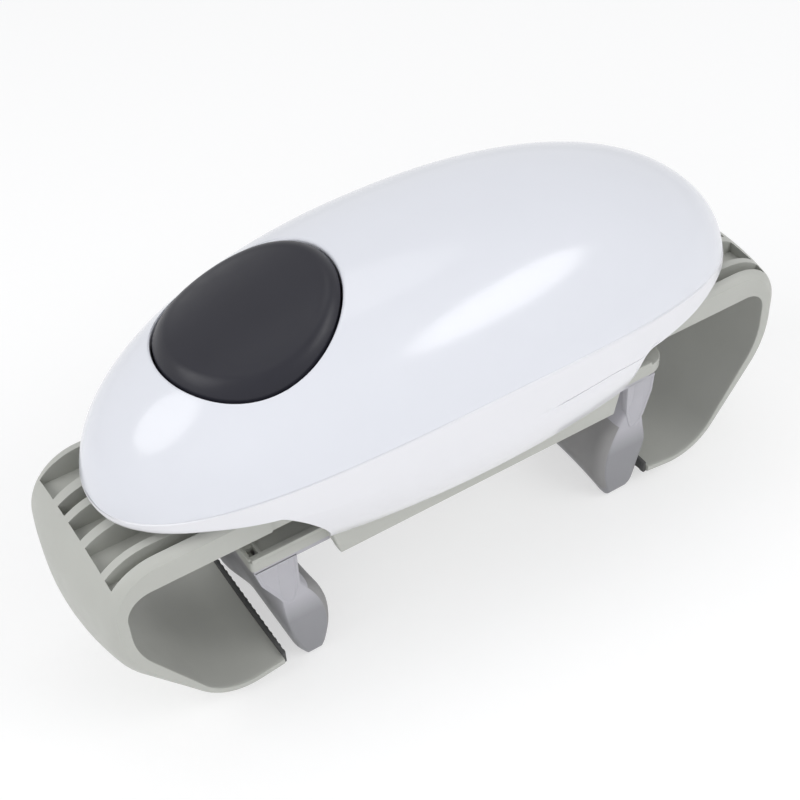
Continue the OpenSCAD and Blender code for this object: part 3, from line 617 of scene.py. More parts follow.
def door_tool(name, grow):
    centre = (0, (DOOR_LOW + DOOR_HIGH) / 2)
    half_high = (DOOR_HIGH - DOOR_LOW) / 2
    return outline(name, rounded_outline(DOOR_HALF + grow, half_high + grow, DOOR_CORNER,
                                         centre=centre), "xz", (28, BEYOND))


battery_door = copy(lower_shell, "battery_door_panel")
cut(battery_door, door_tool("door_form", -DOOR_GAP), "INTERSECT")
cut(lower_shell, door_tool("door_window", 0))
# The thumb groove near the door's top edge
groove = outline("thumb_groove", rounded_outline(GROOVE_HALF, GROOVE_ROUND, GROOVE_ROUND,
                                                 centre=(0, GROOVE_HIGH)),
                 "xz", (GROOVE_FLOOR, BEYOND))
bevel(groove, 0.3, 2)
cut(battery_door, groove)
smooth(battery_door)
smooth(lower_shell)
tell(battery_door)

# %% [markdown]
# ## Arches, floor and seat of the turntable
# Under the skin each arch is closed by a roof, with a slot through which the arm slides. A flat
# cover over the arm hides the motor and the plate of its gears, and a flat floor carries the
# turntable. Seen from below these make the housing look solid.

# %% Arch roofs
ARM_HALF_WIDE = 25
ARM_UNDER = 58.2
ARM_TOP = 67.5
SLOT_GAP = 0.4
SLOT_HALF = 10
SLOT_SHIFT = 4
COVER_NEAR = 40
COVER_FAR = 55.2
COVER_HALF_WIDE = 31.6
FLOOR_T = 2
EGG_OUT = 45
ARC_STEPS = 30
ROOF_STOPS = (58, 66, 74, 82, 88, 92, 100)
CORE_ROWS = (SKIRT_LOW - 0.1, 56, 60, 64, 68, 72, 76, 80)
CORE_COUNT = 96


def arch_line(grow):
    start, end, power = ARCH_RIGHT
    line = []
    for step in range(ARC_STEPS + 1):
        turn = math.radians(90 / ARC_STEPS * step)
        line.append((end - (end - start + grow) * math.cos(turn) ** (2 / power),
                     SKIRT_LOW + (edge_top(end) - SKIRT_LOW + grow)
                     * math.sin(turn) ** (2 / power)))
    for x in ROOF_STOPS:
        line.append((x, edge_top(x) + grow))
    return line


def core_ring(high):
    """Ring just inside the skin at a height, straight below the skirt."""
    return [lower_point(2 * math.pi * k / CORE_COUNT, max(high, SKIRT_LOW), WALL - 0.4)
            + Vector((0, 0, min(0, high - SKIRT_LOW))) for k in range(CORE_COUNT)]


core = ringed("shell_core", [core_ring(high) for high in CORE_ROWS], "filled")
arch_roofs = []
for side, name in ((1, "arch_roof_right"), (-1, "arch_roof_left")):
    line = arch_line(0) + arch_line(FLOOR_T)[::-1]
    roof = outline(name, [(side * x, z) for x, z in line], "xz", (-EGG_OUT, EGG_OUT))
    cut(roof, core, "INTERSECT", keep=True)
    cut(roof, turned_bar(side, "gear_cover",
                         (COVER_NEAR, -COVER_HALF_WIDE, ARM_TOP + SLOT_GAP + 0.05),
                         (COVER_FAR, COVER_HALF_WIDE, edge_top(COVER_FAR) + 1), 1, 3), "UNION")
    slot = outline("arm_slot", rounded_outline(
        SLOT_HALF, (ARM_TOP - ARM_UNDER) / 2 + SLOT_GAP, 0.5, 2,
        centre=(side * (ARCH_RIGHT[0] + SLOT_SHIFT), (ARM_TOP + ARM_UNDER) / 2)),
        "xz", (-ARM_HALF_WIDE - SLOT_GAP, ARM_HALF_WIDE + SLOT_GAP))
    cut(roof, slot)
    arch_roofs.append(smooth(roof))
bpy.data.objects.remove(core)
tell(*arch_roofs)

# %% Floor of the housing
HUB_HOLE_R = 12.06
HUB_COUNT = 64
FLOOR_END = ARCH_RIGHT[0] + 0.6
floor_line = [(max(-FLOOR_END, min(FLOOR_END, spot.x)), spot.y) for spot in core_ring(SKIRT_LOW)]
shell_floor = outline("shell_floor", floor_line, "xy", (SKIRT_LOW + 0.15, SKIRT_LOW + FLOOR_T))
cut(shell_floor, outline("hub_hole", circle(HUB_HOLE_R, HUB_COUNT), "xy", (45, 60)))
smooth(shell_floor)
tell(shell_floor)

# %% [markdown]
# ## The button
# One large thumb button in dark grey rubbery plastic. Its face is dished, and a rolled rim
# stands a little above the dome all round, so the face follows the slope of the dome.

# %% Button
BUTTON_PROUD = 1.3
BUTTON_DISH = 1.5
DISH_SHARE = 0.84
ROLL_SHARE = 0.87
ROLL_DROP = 1.7
BUTTON_FOOT = 93
BUTTON_COUNT = 128
# Inset and height of each ring from the foot up into the hollow, with a well for the spring
BUTTON_UNDER = [(0, 0.4), (0.4, 0), (2, 0), (2, 4), (14, 4), (14.2, 8)]


def face_lift(share):
    """Height of the button's face above the dome at a share of its radius."""
    if share < DISH_SHARE:
        return BUTTON_PROUD - 0.1 - BUTTON_DISH * (1 - (share / DISH_SHARE) ** 2)
    return BUTTON_PROUD - ROLL_DROP * max(0, (share - ROLL_SHARE) / (1 - ROLL_SHARE)) ** 2


face_shares = [0.02 + 0.05 * k for k in range(17)] + [0.85, 0.87, 0.89, 0.91, 0.93, 0.95, 0.965,
                                                      0.98, 0.99, 1]
button_rings = [[Vector((x, y, dome_high(x, y) + face_lift(share)))
                 for x, y in circle(BUTTON_R * share, BUTTON_COUNT, BUTTON_X)]
                for share in face_shares]
for inset, up in BUTTON_UNDER:
    button_rings.append([Vector((x, y, BUTTON_FOOT + up))
                         for x, y in circle(BUTTON_R - inset, BUTTON_COUNT, BUTTON_X)])
button = smooth(ringed("thumb_button", button_rings, "filled"))
tell(button)

# %% [markdown]
# ## The jar arms
# Each arm is one grey moulding: a thick top plate that slides in the housing, a nose, a bowed
# end wall and a thin lip that hooks under the jar. The side view is a C whose two lines touch
# three circles. The grid is swept from front to back, drawn in at the rims for the soft edge,
# and five pockets are then cut into the top, which leaves ribs that fall over the nose.

# %% The C's inner and outer line
ARM_REACH = 101.1
ARM_END = 4.8
ARM_LIP = 2.8
ARM_BOW = 4
HEEL_SHARE = 0.3
GRIP_OUT = 60.4
LIP_REACH = GRIP_OUT + 2.4
ROOT_X = -60.5
LIP_RISE = math.radians(8)
NOSE_IN = (Vector((-ARM_REACH + 7, ARM_UNDER - 7)), 7)
BEND = (Vector((-ARM_REACH + 24, 45.5)), 24)
HEEL = (Vector((-LIP_REACH - 9.8, 21.9)), 15.5)
NOSE_OUT_R = 15.5
NOSE_OUT = Vector((-ARM_REACH - ARM_END + NOSE_OUT_R, ARM_TOP - NOSE_OUT_R))


def arc(centre, radius, start, end, steps):
    """Points on a circle from one angle to another, in degrees."""
    points = []
    for step in range(steps + 1):
        turn = math.radians(mix(start, end, step / steps))
        points.append(centre + radius * Vector((math.cos(turn), math.sin(turn))))
    return points


def wall_lean(bend_r, heel_r):
    """Turn in degrees at which the straight wall leaves the upper bend for the lower one."""
    apart = HEEL[0] - BEND[0]
    return math.degrees(math.atan2(apart.x, -apart.y)
                        + math.asin((bend_r - heel_r) / apart.length))


def lip_end(radius):
    along = Vector((math.cos(LIP_RISE), math.sin(LIP_RISE)))
    start = HEEL[0] + radius * Vector((math.sin(LIP_RISE), -math.cos(LIP_RISE)))
    return start + along * ((-LIP_REACH - start.x) / along.x)


def c_line(top, nose, nose_r, bend_r, heel_r, bow):
    """The inner or outer line of the C, from the root over the nose to the tip of the lip."""
    bend_r += bow
    heel_r += bow * HEEL_SHARE
    lean = wall_lean(bend_r, heel_r)
    start = [Vector((mix(ROOT_X, nose.x, k / 8), top)) for k in range(8)]
    turns = [math.radians(90 + 5.625 * k) for k in range(17)]
    bend = [nose + Vector(((nose_r + bow) * math.cos(turn), nose_r * math.sin(turn)))
            for turn in turns]
    wall = (arc(BEND[0], bend_r, 180, 180 + lean, 8)
            + arc(HEEL[0], heel_r, 180 + lean, 270 + math.degrees(LIP_RISE), 18))
    return start + bend + wall + [lip_end(heel_r)]


def c_ring(inset, grow, bow):
    """Closed outline of the C, its outer line drawn in and its inner line let out."""
    outer = c_line(ARM_TOP - inset, NOSE_OUT, NOSE_OUT_R - inset, BEND[1] + ARM_END - inset,
                   HEEL[1] + ARM_LIP - inset * 0.6, bow)
    inner = c_line(ARM_UNDER + grow, NOSE_IN[0], NOSE_IN[1] + grow, BEND[1] + grow,
                   HEEL[1] + grow, bow)
    return outer + inner[::-1]


print("the lip reaches x", -LIP_REACH, "mm")

# %% Body of an arm
# Depth behind the front face, how far the outer line is drawn in there and the inner let out
RIM = [(0, 1.9, 0.5), (0.1, 1.8, 0.2), (0.4, 1.35, 0.06), (0.9, 0.85, 0), (1.6, 0.4, 0),
       (2.4, 0.12, 0), (3.2, 0, 0), (4.4, 0, 0), (6.4, 0, 0), (9, 0, 0), (12, 0, 0), (16, 0, 0),
       (20.5, 0, 0)]
stations = ([(-ARM_HALF_WIDE + far, inset, grow) for far, inset, grow in RIM]
            + [(0, 0, 0)] + [(ARM_HALF_WIDE - far, inset, grow) for far, inset, grow in RIM[::-1]])


def c_body(name):
    rings = [[Vector((p.x, y, p.y))
              for p in c_ring(inset, grow, ARM_BOW * (1 - (y / ARM_HALF_WIDE) ** 2))]
             for y, inset, grow in stations]
    body = ringed(name, rings, "open")
    # Each end is closed by faces from the outer line to the inner one
    only(body)
    mesh = bmesh.new()
    mesh.from_mesh(body.data)
    mesh.verts.ensure_lookup_table()
    around = len(rings[0])
    for first in (0, (len(rings) - 1) * around):
        for k in range(around // 2 - 1):
            spots = (k, k + 1, around - 2 - k, around - 1 - k)
            mesh.faces.new([mesh.verts[first + j] for j in spots])
    mesh.to_mesh(body.data)
    mesh.free()
    edit(body, face_out)
    return body


# %% A rack
# The pitch line and the back lie behind the shaft; the tooth's outline is relative to the line
RACK_PITCH = 9
RACK_BACK = 15
RACK_END = 3.6
TEETH_FROM = -35
TOOTH = [(-1, 1.1), (-0.3, -0.9), (0.3, -0.9), (1, 1.1)]


def rack(name, x_from, low, high):
    """A bar with teeth towards the middle: one tooth is made and copied along it."""
    teeth = []
    for number in range(math.ceil((TEETH_FROM + 1) / math.pi), 1):
        shape = [(number * math.pi + x, -RACK_PITCH - y) for x, y in TOOTH]
        teeth.append(outline("rack_tooth", shape, "xy", (low, low + high)))
    return join(bar(name, (x_from, -RACK_BACK, low), (RACK_END, -RACK_PITCH - 1, low + high), 0.2),
                *teeth)


# %% Jar arms
POCKETS = [(-22.4, -19), (-16.8, -7.8), (-5, 2.2), (4.8, 9), (12, 21.5)]
POCKET_FLOOR = ARM_UNDER + 2.2
POCKET_FAR = ARM_REACH + 1.6
CROSS_RIB = (11, 13, 5)
FLANGE_END = -47
arm = c_body("jar_arm_left_body")
for near, far in POCKETS:
    pocket = outline("pocket", [(-POCKET_FAR, POCKET_FLOOR), (-POCKET_FAR, ARM_TOP + 9),
                                (ROOT_X - 6, ARM_TOP + 9), (ROOT_X - 6, POCKET_FLOOR)],
                     "xz", (near, far))
    cut(arm, pocket)
block_near, block_far = POCKETS[2]
rib_near, rib_far, rib_high = CROSS_RIB
join(arm, bar("cross_rib", (-POCKET_FAR + rib_near, block_near - 0.05, POCKET_FLOOR - 0.05),
              (-POCKET_FAR + rib_far, block_far + 0.05, POCKET_FLOOR + rib_high)),
     bar("flange", (ROOT_X - 4, -ARM_HALF_WIDE + 0.6, ARM_UNDER),
         (FLANGE_END, -22.2, ARM_TOP - 2), 0.2))
arm_right = flipped(arm, "jar_arm_right_body")
arm_rack = rack("arm_rack", ROOT_X - 3, ARM_UNDER + 0.3, 5.6)
join(arm_right, flipped(arm_rack, "arm_rack_right", -1, -1))
join(arm, arm_rack)
for piece in (arm, arm_right):
    smooth(piece, math.radians(30))
tell(arm)

# %% [markdown]
# ## The jar pads
# A strip of dark rubber with small teeth runs along the inner edge of each lip. One tooth is
# modelled and copied along the strip, each copy with its own mesh, and all are joined.

# %% Jar pads
LIP_LOW = lip_end(HEEL[1] + ARM_LIP).y
LIP_TOP = lip_end(HEEL[1]).y + 1.2
TOOTH_PITCH = 2.4
TOOTH_WIDE = 1.2


def jar_pad(name):
    edge = ARM_HALF_WIDE
    strip = bar(name, (-LIP_REACH, -edge + 1, LIP_LOW), (-LIP_REACH + 1, edge - 1, LIP_TOP), 0.25)
    teeth = []
    y = -edge + 1.5
    while y <= edge - 2.5:
        teeth.append(bar("tooth", (-LIP_REACH + 0.5, y, LIP_LOW + 0.1),
                         (-LIP_REACH + 1.2, y + TOOTH_WIDE, LIP_TOP - 0.1), 0.3))
        y += TOOTH_PITCH
    return smooth(join(strip, *teeth))


jar_pad_left = jar_pad("jar_pad_left_strip")
jar_pad_right = smooth(flipped(jar_pad_left, "jar_pad_right_strip"))
tell(jar_pad_left)

# %% [markdown]
# ## The carrier
# The carrier is the turntable under the housing: a long block whose ends lean out, with a
# thinner rounded plate at each end. The grippers' slides run in the cavity below it.

# %% Block and end plates
CARRIER_HALF_WIDE = 29.1
CARRIER_HALF = 44.3
CARRIER_LOW = 43.5
CARRIER_TOP = 51.7
BLOCK_LEAN = 2
PLATE_REACH = 67.4
PLATE_HALF_WIDE = 24
PLATE_LOW = 45.7
PLATE_TOP = 49.3
PLATE_CORNER = 6
SHARP_CORNER = 1.2
block = outline("carrier_block", [(-CARRIER_HALF, CARRIER_LOW), (CARRIER_HALF, CARRIER_LOW),
                                  (CARRIER_HALF + BLOCK_LEAN, CARRIER_TOP),
                                  (-CARRIER_HALF - BLOCK_LEAN, CARRIER_TOP)],
                "xz", (-CARRIER_HALF_WIDE, CARRIER_HALF_WIDE))
bevel(block, 0.5, 3)


def plate_outline():
    """The end plates have one sharp and one round corner each."""
    points = []
    for number, (sx, sy, corner) in enumerate(((1, 1, SHARP_CORNER), (-1, 1, PLATE_CORNER),
                                               (-1, -1, SHARP_CORNER), (1, -1, PLATE_CORNER))):
        centre = Vector((sx * (PLATE_REACH - corner), sy * (PLATE_HALF_WIDE - corner)))
        points += arc(centre, corner, 90 * number, 90 * number + 90, 10)
    return points


plate = outline("end_plates", plate_outline(), "xy", (PLATE_LOW, PLATE_TOP))
bevel(plate, 0.4, 3, 60)
cut(block, plate, "UNION")

# %% Rims and pockets on the end plates
RIM_WIDE = 1.8
RIM_UP = 1.1
POCKET_X = PLATE_REACH - 3.2
POCKET_Y = PLATE_HALF_WIDE - 5.2
for side in (1, -1):
    trims = [((CARRIER_HALF, PLATE_HALF_WIDE - RIM_WIDE), (PLATE_REACH - 0.6, PLATE_HALF_WIDE), 1),
             ((CARRIER_HALF, -PLATE_HALF_WIDE),
              (PLATE_REACH - PLATE_CORNER, -PLATE_HALF_WIDE + RIM_WIDE), 1),
             ((PLATE_REACH - 1, 8), (PLATE_REACH, PLATE_HALF_WIDE - SHARP_CORNER), 0.6),
             ((POCKET_X - 0.9, POCKET_Y - 3), (POCKET_X, PLATE_HALF_WIDE - 0.8), 1)]
    for low, high, share in trims:
        cut(block, turned_bar(side, "rim", (*low, PLATE_TOP - 0.3),
                              (*high, PLATE_TOP + RIM_UP * share), 0.25), "UNION")
    cut(block, turned_bar(side, "pocket", (POCKET_X, POCKET_Y, PLATE_TOP - 1.6),
                          (POCKET_X + 2.2, POCKET_Y + 3.4, PLATE_TOP + 1.4)))
tell(block)

# %% Hub, cavity and slots
HUB_STEPS = ((12, 55.6), (9.5, 57.3))
BORE_R = 2.56
CAVITY_TOP = 49.4
SLOT_END = PLATE_REACH - 2.6
RACK_LANE = (7.4, 15.3)
GUIDE_Y = 19.5
GUIDE_SLOT = 1.3
for radius, top in HUB_STEPS:
    cut(block, outline("hub", circle(radius, HUB_COUNT), "xy", (CARRIER_TOP - 1, top)), "UNION")
cut(block, bar("cavity", (-60, -25.9, PLATE_LOW - 6), (60, 25.9, PLATE_LOW)))
cut(block, bar("deep_cavity", (-CARRIER_HALF + 6, -21.9, PLATE_LOW - 1),
               (CARRIER_HALF - 6, 21.9, CAVITY_TOP)))
for side in (-1, 1):
    cut(block, turned_bar(side, "rack_slot", (-SLOT_END, RACK_LANE[0], PLATE_LOW - 1),
                          (SLOT_END, RACK_LANE[1], CAVITY_TOP)))
    cut(block, turned_bar(side, "guide_slot", (-SLOT_END, GUIDE_Y - GUIDE_SLOT, PLATE_LOW - 1),
                          (SLOT_END, GUIDE_Y + GUIDE_SLOT, PLATE_LOW + 2.6)))
cut(block, outline("shaft_bore", circle(BORE_R, 32), "xy", (40, 60)))
carrier = smooth(block)
tell(carrier)

# %% [markdown]
# ## The lid grippers
# A gripper is a slide plate with a wall hanging from it. The wall is thin at the top and swells
# into a soft, rounded foot. Its gripping face is hollowed a little for round lids and carries a
# rubber pad. A tapered tongue hangs at each end of the slide. The wall's two sides are smooth
# curves through a few points, swept from front to back and drawn together at both ends.

# %% Lines of the gripper's wall
GRIP_HALF_WIDE = 23
FOOT_T = 15
GRIP_DISH = 2
PAD_T = 1.2
SLIDE_TOP = 45.45
SLIDE_T = 2.2
WALL_TOP = SLIDE_TOP - SLIDE_T + 0.01
# Depth from the outer face and height; share of the foot's thickness and height
WALL_OUT = [(0.4, WALL_TOP), (0, 36), (0, 30), (0, 24), (0.3, 18), (1.6, 11), (3.4, 4), (5, 0.9),
            (5.9, -0.4)]
WALL_IN = [(0.3, WALL_TOP), (0.32, 38.5), (0.45, 34), (0.67, 29), (0.88, 23.5), (1, 17.5),
           (1, 11), (0.9, 3.4), (0.78, -0.4)]
WALL_HALF_WIDE = GRIP_HALF_WIDE - 0.25
# The outer line where the foot is fattest, at the far end
FAT_OUT = [(0.4, WALL_TOP), (0, 36), (-0.4, 30), (-1.6, 24), (-2.8, 18), (-1.2, 11), (0.5, 4),
           (1.8, 0.9), (3.6, -0.4)]
END_ROUND = 4.5
HOLD_OUT = 0.2
HOLD_IN = 0.3


def curve(points, steps):
    """A smooth curve through the points, with as many steps between each pair."""
    spots = [Vector(points[0])] + [Vector(point) for point in points] + [Vector(points[-1])]
    line = []
    for k in range(1, len(spots) - 2):
        before, here, there, after = spots[k - 1:k + 3]
        for step in range(steps):
            t = step / steps
            line.append(0.5 * (2 * here + (there - before) * t
                               + (2 * before - 5 * here + 4 * there - after) * t * t
                               + (3 * here - before - 3 * there + after) * t ** 3))
    return line + [Vector(points[-1])]


def end_ease(y):
    """How far the wall's sides draw together at a place along Y, 0 except at both ends."""
    near = min(1, max(0, 1 - (WALL_HALF_WIDE - abs(y)) / END_ROUND))
    return 1 - math.sqrt(1 - near * near)


def wall_ring(y):
    """The wall's outer and inner line at a place along Y. The far end's foot is the fatter."""
    ease = end_ease(y)
    hollow = GRIP_DISH * (1 - (y / GRIP_HALF_WIDE) ** 2)
    fat = blend_in(y, 4, 20)
    outer = [a.lerp(b, fat) for a, b in zip(curve(WALL_OUT, 4), curve(FAT_OUT, 4))]
    inner = [Vector(((FOOT_T - PAD_T) * share - hollow * max(0, (share - 0.35) / 0.65), high))
             for share, high in curve(WALL_IN, 4)]
    near, far = [], []
    for a, b in zip(outer, inner):
        middle = (a + b) / 2
        for side, line, hold in ((a, near, HOLD_OUT), (b, far, HOLD_IN)):
            spot = side + (middle - side) * hold * ease
            high = spot.y + 3 * ease * max(0, 1 - spot.y / 14)
            line.append(Vector((spot.x - GRIP_OUT, y, max(0, high))))
    return near, far


print("wall", FOOT_T, "mm thick at the foot")

# %% The gripper's wall
wall_places = [WALL_HALF_WIDE - d for d in (0, 0.05, 0.2, 0.5, 0.9, 1.4, 2, 2.7, 3.4, 4.2)]
wall_places += [(WALL_HALF_WIDE - 4.2) * (1 - k / 8) for k in range(1, 9)]
wall_places = [-y for y in wall_places] + wall_places[-2::-1]
wall_rings = []
for y in wall_places:
    near, far = wall_ring(y)
    wall_rings.append(near + far[::-1])
gripper = ringed("lid_gripper_left_body", wall_rings, "filled")
tell(gripper)

# %% Tongues
# Distance outwards from the wall's outer face, and height
TONGUE = [(6.1, 44.25), (4.7, 38), (0.4, 30), (-0.7, 27.6), (-1.9, 26.3), (-3.3, 26),
          (-4.5, 26.9), (-5.1, 28.6), (-6.2, 33), (-6.4, 44.25)]
TONGUE_T = 2.2


def tongue(side, shape):
    """A tapered tab with a rounded tip, whose outer face is sunk inside a narrow border."""
    middle = side * (GRIP_HALF_WIDE - TONGUE_T / 2)
    tab = outline("tongue", [(-GRIP_OUT - far, high) for far, high in shape], "xz",
                  (middle - TONGUE_T / 2, middle + TONGUE_T / 2))
    faces = [face.index for face in tab.data.polygons if face.normal.y * side > 0.9]
    only(tab)
    bpy.ops.object.mode_set(mode="EDIT")
    bpy.ops.mesh.select_all(action="DESELECT")
    bpy.ops.object.mode_set(mode="OBJECT")
    for number in faces:
        tab.data.polygons[number].select = True
    bpy.ops.object.mode_set(mode="EDIT")
    bpy.ops.mesh.select_mode(type="FACE")
    bpy.ops.mesh.inset(thickness=0.7 * MM, depth=0)
    bpy.ops.mesh.inset(thickness=0.25 * MM, depth=-0.3 * MM)
    bpy.ops.object.mode_set(mode="OBJECT")
    return bevel(tab, 0.2, 2, 50)


tongues = [tongue(-1, TONGUE), tongue(1, [(3.4, 44.25), (2.9, 38)] + TONGUE[2:])]
print(len(tongues), "tongues")

# %% Lid grippers
SLIDE_FAR = GRIP_OUT + TONGUE[0][0]
SLIDE_NEAR = 44
GUIDE_HALF = 1
# The slide's far corner is round where the carrier's plate is
slide_round = arc(Vector((-SLIDE_FAR + PLATE_CORNER, GRIP_HALF_WIDE - PLATE_CORNER)),
                  PLATE_CORNER, 90, 180, 8)
slide = outline("slide", slide_round + [(-SLIDE_FAR, -GRIP_HALF_WIDE),
                                        (-SLIDE_NEAR, -GRIP_HALF_WIDE),
                                        (-SLIDE_NEAR, GRIP_HALF_WIDE)],
                "xy", (SLIDE_TOP - SLIDE_T, SLIDE_TOP))
bevel(slide, 0.3, 2, 60)
rack_bars = [rack("gripper_rack", -SLOT_END + 0.8, PLATE_LOW + 0.2, 3.2),
             bar("rack_foot", (-SLOT_END + 0.8, -RACK_BACK, SLIDE_TOP - 0.1),
                 (-SLIDE_NEAR, -RACK_PITCH - 1.9, SLIDE_TOP + 1))]
for side in (-1, 1):
    rack_bars.append(bar("guide", (-SLOT_END + 0.8, side * GUIDE_Y - GUIDE_HALF, SLIDE_TOP - 0.1),
                         (-SLIDE_NEAR - 7.2, side * GUIDE_Y + GUIDE_HALF, SLIDE_TOP + 2.4), 0.2))
join(gripper, slide, *tongues, *rack_bars)
smooth(gripper)
gripper_right = smooth(flipped(gripper, "lid_gripper_right_body", -1, -1))
tell(gripper)

# %% Rubber lid pads
# Rows of the wall that the pad covers, and its thickness along them
PAD_ROWS = (12, 28)
PAD_SHARE = [(0, 0.1), (0.06, 0.6), (0.18, 1), (0.5, 1), (0.82, 1), (0.94, 0.6), (1, 0.1)]


def pad_thick(place):
    for (a, low), (b, high) in zip(PAD_SHARE, PAD_SHARE[1:]):
        if a <= place <= b:
            return mix(low, high, (place - a) / (b - a))
    return 0.1


def lid_pad(name):
    first, last = PAD_ROWS
    rings = []
    for y in wall_places[2:-2]:
        far = wall_ring(y)[1][first:last + 1]
        edge = 1 - min(1, end_ease(y) * 1.6)
        face = []
        for k, point in enumerate(far):
            thick = PAD_T * pad_thick(k / (last - first)) * max(0.08, edge)
            face.append(point + Vector((thick, 0, 0)))
        rings.append([point - Vector((0.4, 0, 0)) for point in far] + face[::-1])
    return smooth(ringed(name, rings, "filled"))


lid_pad_left = lid_pad("lid_pad_left_face")
lid_pad_right = smooth(flipped(lid_pad_left, "lid_pad_right_face", -1, -1))
tell(lid_pad_left)

# %% [markdown]
# ## Finishes
# Every finish is moulded plastic, rubber or metal, built from noise on Object coordinates: a
# slow cloud varies the colour a little, a finer one the roughness, and the finest is the grain
# that the mould leaves. The grippers' feet are painted a darker grey: painted shade, for the
# shade that falls on them low down. Sizes are in millimetres, and colours as a picture shows them.

# %% Finishes: noise and ramps
def linear(*colour):
    return [((part / 255 + 0.055) / 1.055) ** 2.4 for part in colour] + [1]


def feed(tree, made, inputs):
    """Puts numbers, colours or the outputs of other nodes on a node's inputs."""
    for key, value in inputs.items():
        if isinstance(value, bpy.types.NodeSocket):
            tree.links.new(value, made.inputs[key])
        else:
            made.inputs[key].default_value = value
    return made


def node(tree, kind, inputs=None):
    return feed(tree, tree.nodes.new("ShaderNode" + kind), inputs or {})


def noise(tree, size, detail, stretch):
    """Noise whose blobs are about size millimetres wide."""
    spot = node(tree, "TexCoord").outputs["Object"]
    scale = [1 / (size * MM * way) for way in stretch]
    lay = node(tree, "Mapping", {"Vector": spot, "Scale": scale})
    cloud = node(tree, "TexNoise", {"Vector": lay.outputs[0], "Scale": 1, "Detail": detail})
    return cloud.outputs["Fac"]


def between(tree, value, low, high, start=0.3, end=0.7):
    """A value from low to high as another goes from start to end."""
    return node(tree, "MapRange", {"Value": value, "From Min": start, "From Max": end,
                                   "To Min": low, "To Max": high}).outputs["Result"]


def coloured(tree, value, *stops):
    """A colour that goes from one stop to the other, each a place from 0 to 1 and a colour."""
    ramp = node(tree, "ValToRGB", {"Fac": value})
    for element, (place, colour) in zip(ramp.color_ramp.elements, stops):
        element.position = place
        element.color = colour
    return ramp.outputs["Color"]


# %% Finishes: moulded plastic, rubber and metal
COLOUR_CLOUD = 16
ROUGH_CLOUD = 5
ROUGH_VARY = 0.12


def finish(name, colour, rough, vary=0.02, grain=0.4, deep=0.01, metal=0.0, stretch=(1, 1, 1)):
    """Colour clouds vary by a share, and the grain is that many millimetres wide and deep."""
    material = bpy.data.materials.new(name)
    material.use_nodes = True
    tree = material.node_tree
    dark, light = [[min(1, part * share) for part in linear(*colour)[:3]] + [1]
                   for share in (1 - vary, 1 + vary)]
    clouds = coloured(tree, noise(tree, COLOUR_CLOUD, 3, stretch), (0.3, dark), (0.7, light))
    patches = between(tree, noise(tree, ROUGH_CLOUD, 3, stretch), rough * (1 - ROUGH_VARY),
                      rough * (1 + ROUGH_VARY))
    bump = node(tree, "Bump", {"Strength": 1, "Distance": deep * MM,
                               "Height": noise(tree, grain, 1, stretch)})
    feed(tree, tree.nodes["Principled BSDF"], {"Base Color": clouds, "Roughness": patches,
                                               "Metallic": metal, "Normal": bump.outputs[0]})
    return material


def painted_shade_below(material, colour, low, high):
    """A colour painted lower down as shade, with a soft passage between two heights in
    millimetres.
    """
    tree = material.node_tree
    coat = tree.nodes["Principled BSDF"].inputs["Base Color"]
    spot = node(tree, "SeparateXYZ", {0: node(tree, "TexCoord").outputs["Object"]})
    blend = node(tree, "Mix")
    blend.data_type = "RGBA"
    feed(tree, blend, {0: between(tree, spot.outputs["Z"], 0, 1, low * MM, high * MM),
                       6: linear(*colour), 7: coat.links[0].from_socket})
    tree.links.new(blend.outputs[2], coat)


# %% Finishes
# Painted shade: the grippers' feet get this darker grey, between these heights in millimetres, for
# the shade low down under the object
FOOT_PAINTED_SHADE = (146, 146, 150)
FOOT_SHADE_PASSAGE = (18, 27)
BUTTON_SPECULAR = 0.34
finishes = {
    "shell": finish("glossy_white_shell", (229, 231, 238), 0.16, 0.006, 2.5, 0.003),
    # Painted light: the parts below the seam are coloured a little lighter than the dome, for the
    # light that the floor throws up on the band and skirt
    "lower shell": finish("lower_shell_painted_lighter", (235, 235, 239), 0.2, 0.006, 2.5, 0.003),
    "button": finish("charcoal_button", (31, 31, 40), 0.38, 0.05, 0.35, 0.01),
    "warm_grey": finish("warm_grey_arms", (187, 188, 182), 0.5, 0.02, 0.3, 0.014),
    "cool_grey": finish("cool_grey_grippers", (184, 183, 189), 0.42, 0.02, 0.3, 0.01),
    "rubber": finish("dark_jar_rubber", (84, 84, 84), 0.8, 0.06, 0.5, 0.03),
    "lid_rubber": finish("grey_lid_rubber", (152, 151, 151), 0.7, 0.04, 0.4, 0.02),
    "steel": finish("brushed_steel", (186, 186, 190), 0.32, 0.03, 0.25, 0.006, 1.0, (1, 1, 12)),
    "gear_plastic": finish("white_gear_plastic", (236, 236, 229), 0.38, 0.01, 0.5, 0.006),
    "frame_plastic": finish("grey_frame_plastic", (132, 136, 142), 0.6, 0.03, 0.3, 0.015),
    "brass": finish("brass_pins", (205, 178, 108), 0.3, 0.03, 0.3, 0.004, 1.0),
    "board": finish("green_board", (38, 104, 66), 0.35, 0.05, 0.8, 0.01),
    "dark_plastic": finish("black_switch_plastic", (44, 44, 47), 0.5, 0.05, 0.3, 0.012),
    "cell": finish("painted_cell", (66, 78, 102), 0.28, 0.03, 1.2, 0.003)}
button_coat = finishes["button"].node_tree.nodes["Principled BSDF"]
button_coat.inputs["Specular IOR Level"].default_value = BUTTON_SPECULAR
# Painted shade on the grippers' feet: darker grey towards the bottom
painted_shade_below(finishes["cool_grey"], FOOT_PAINTED_SHADE, *FOOT_SHADE_PASSAGE)
print(len(finishes), "finishes")

# %% [markdown]
# ## Dressing
# Each piece rides on its body, stands for its CAD nodes and takes its finish. The CAD nodes
# that stay, the gears, motor and cells inside, are given the finish of their own slot.

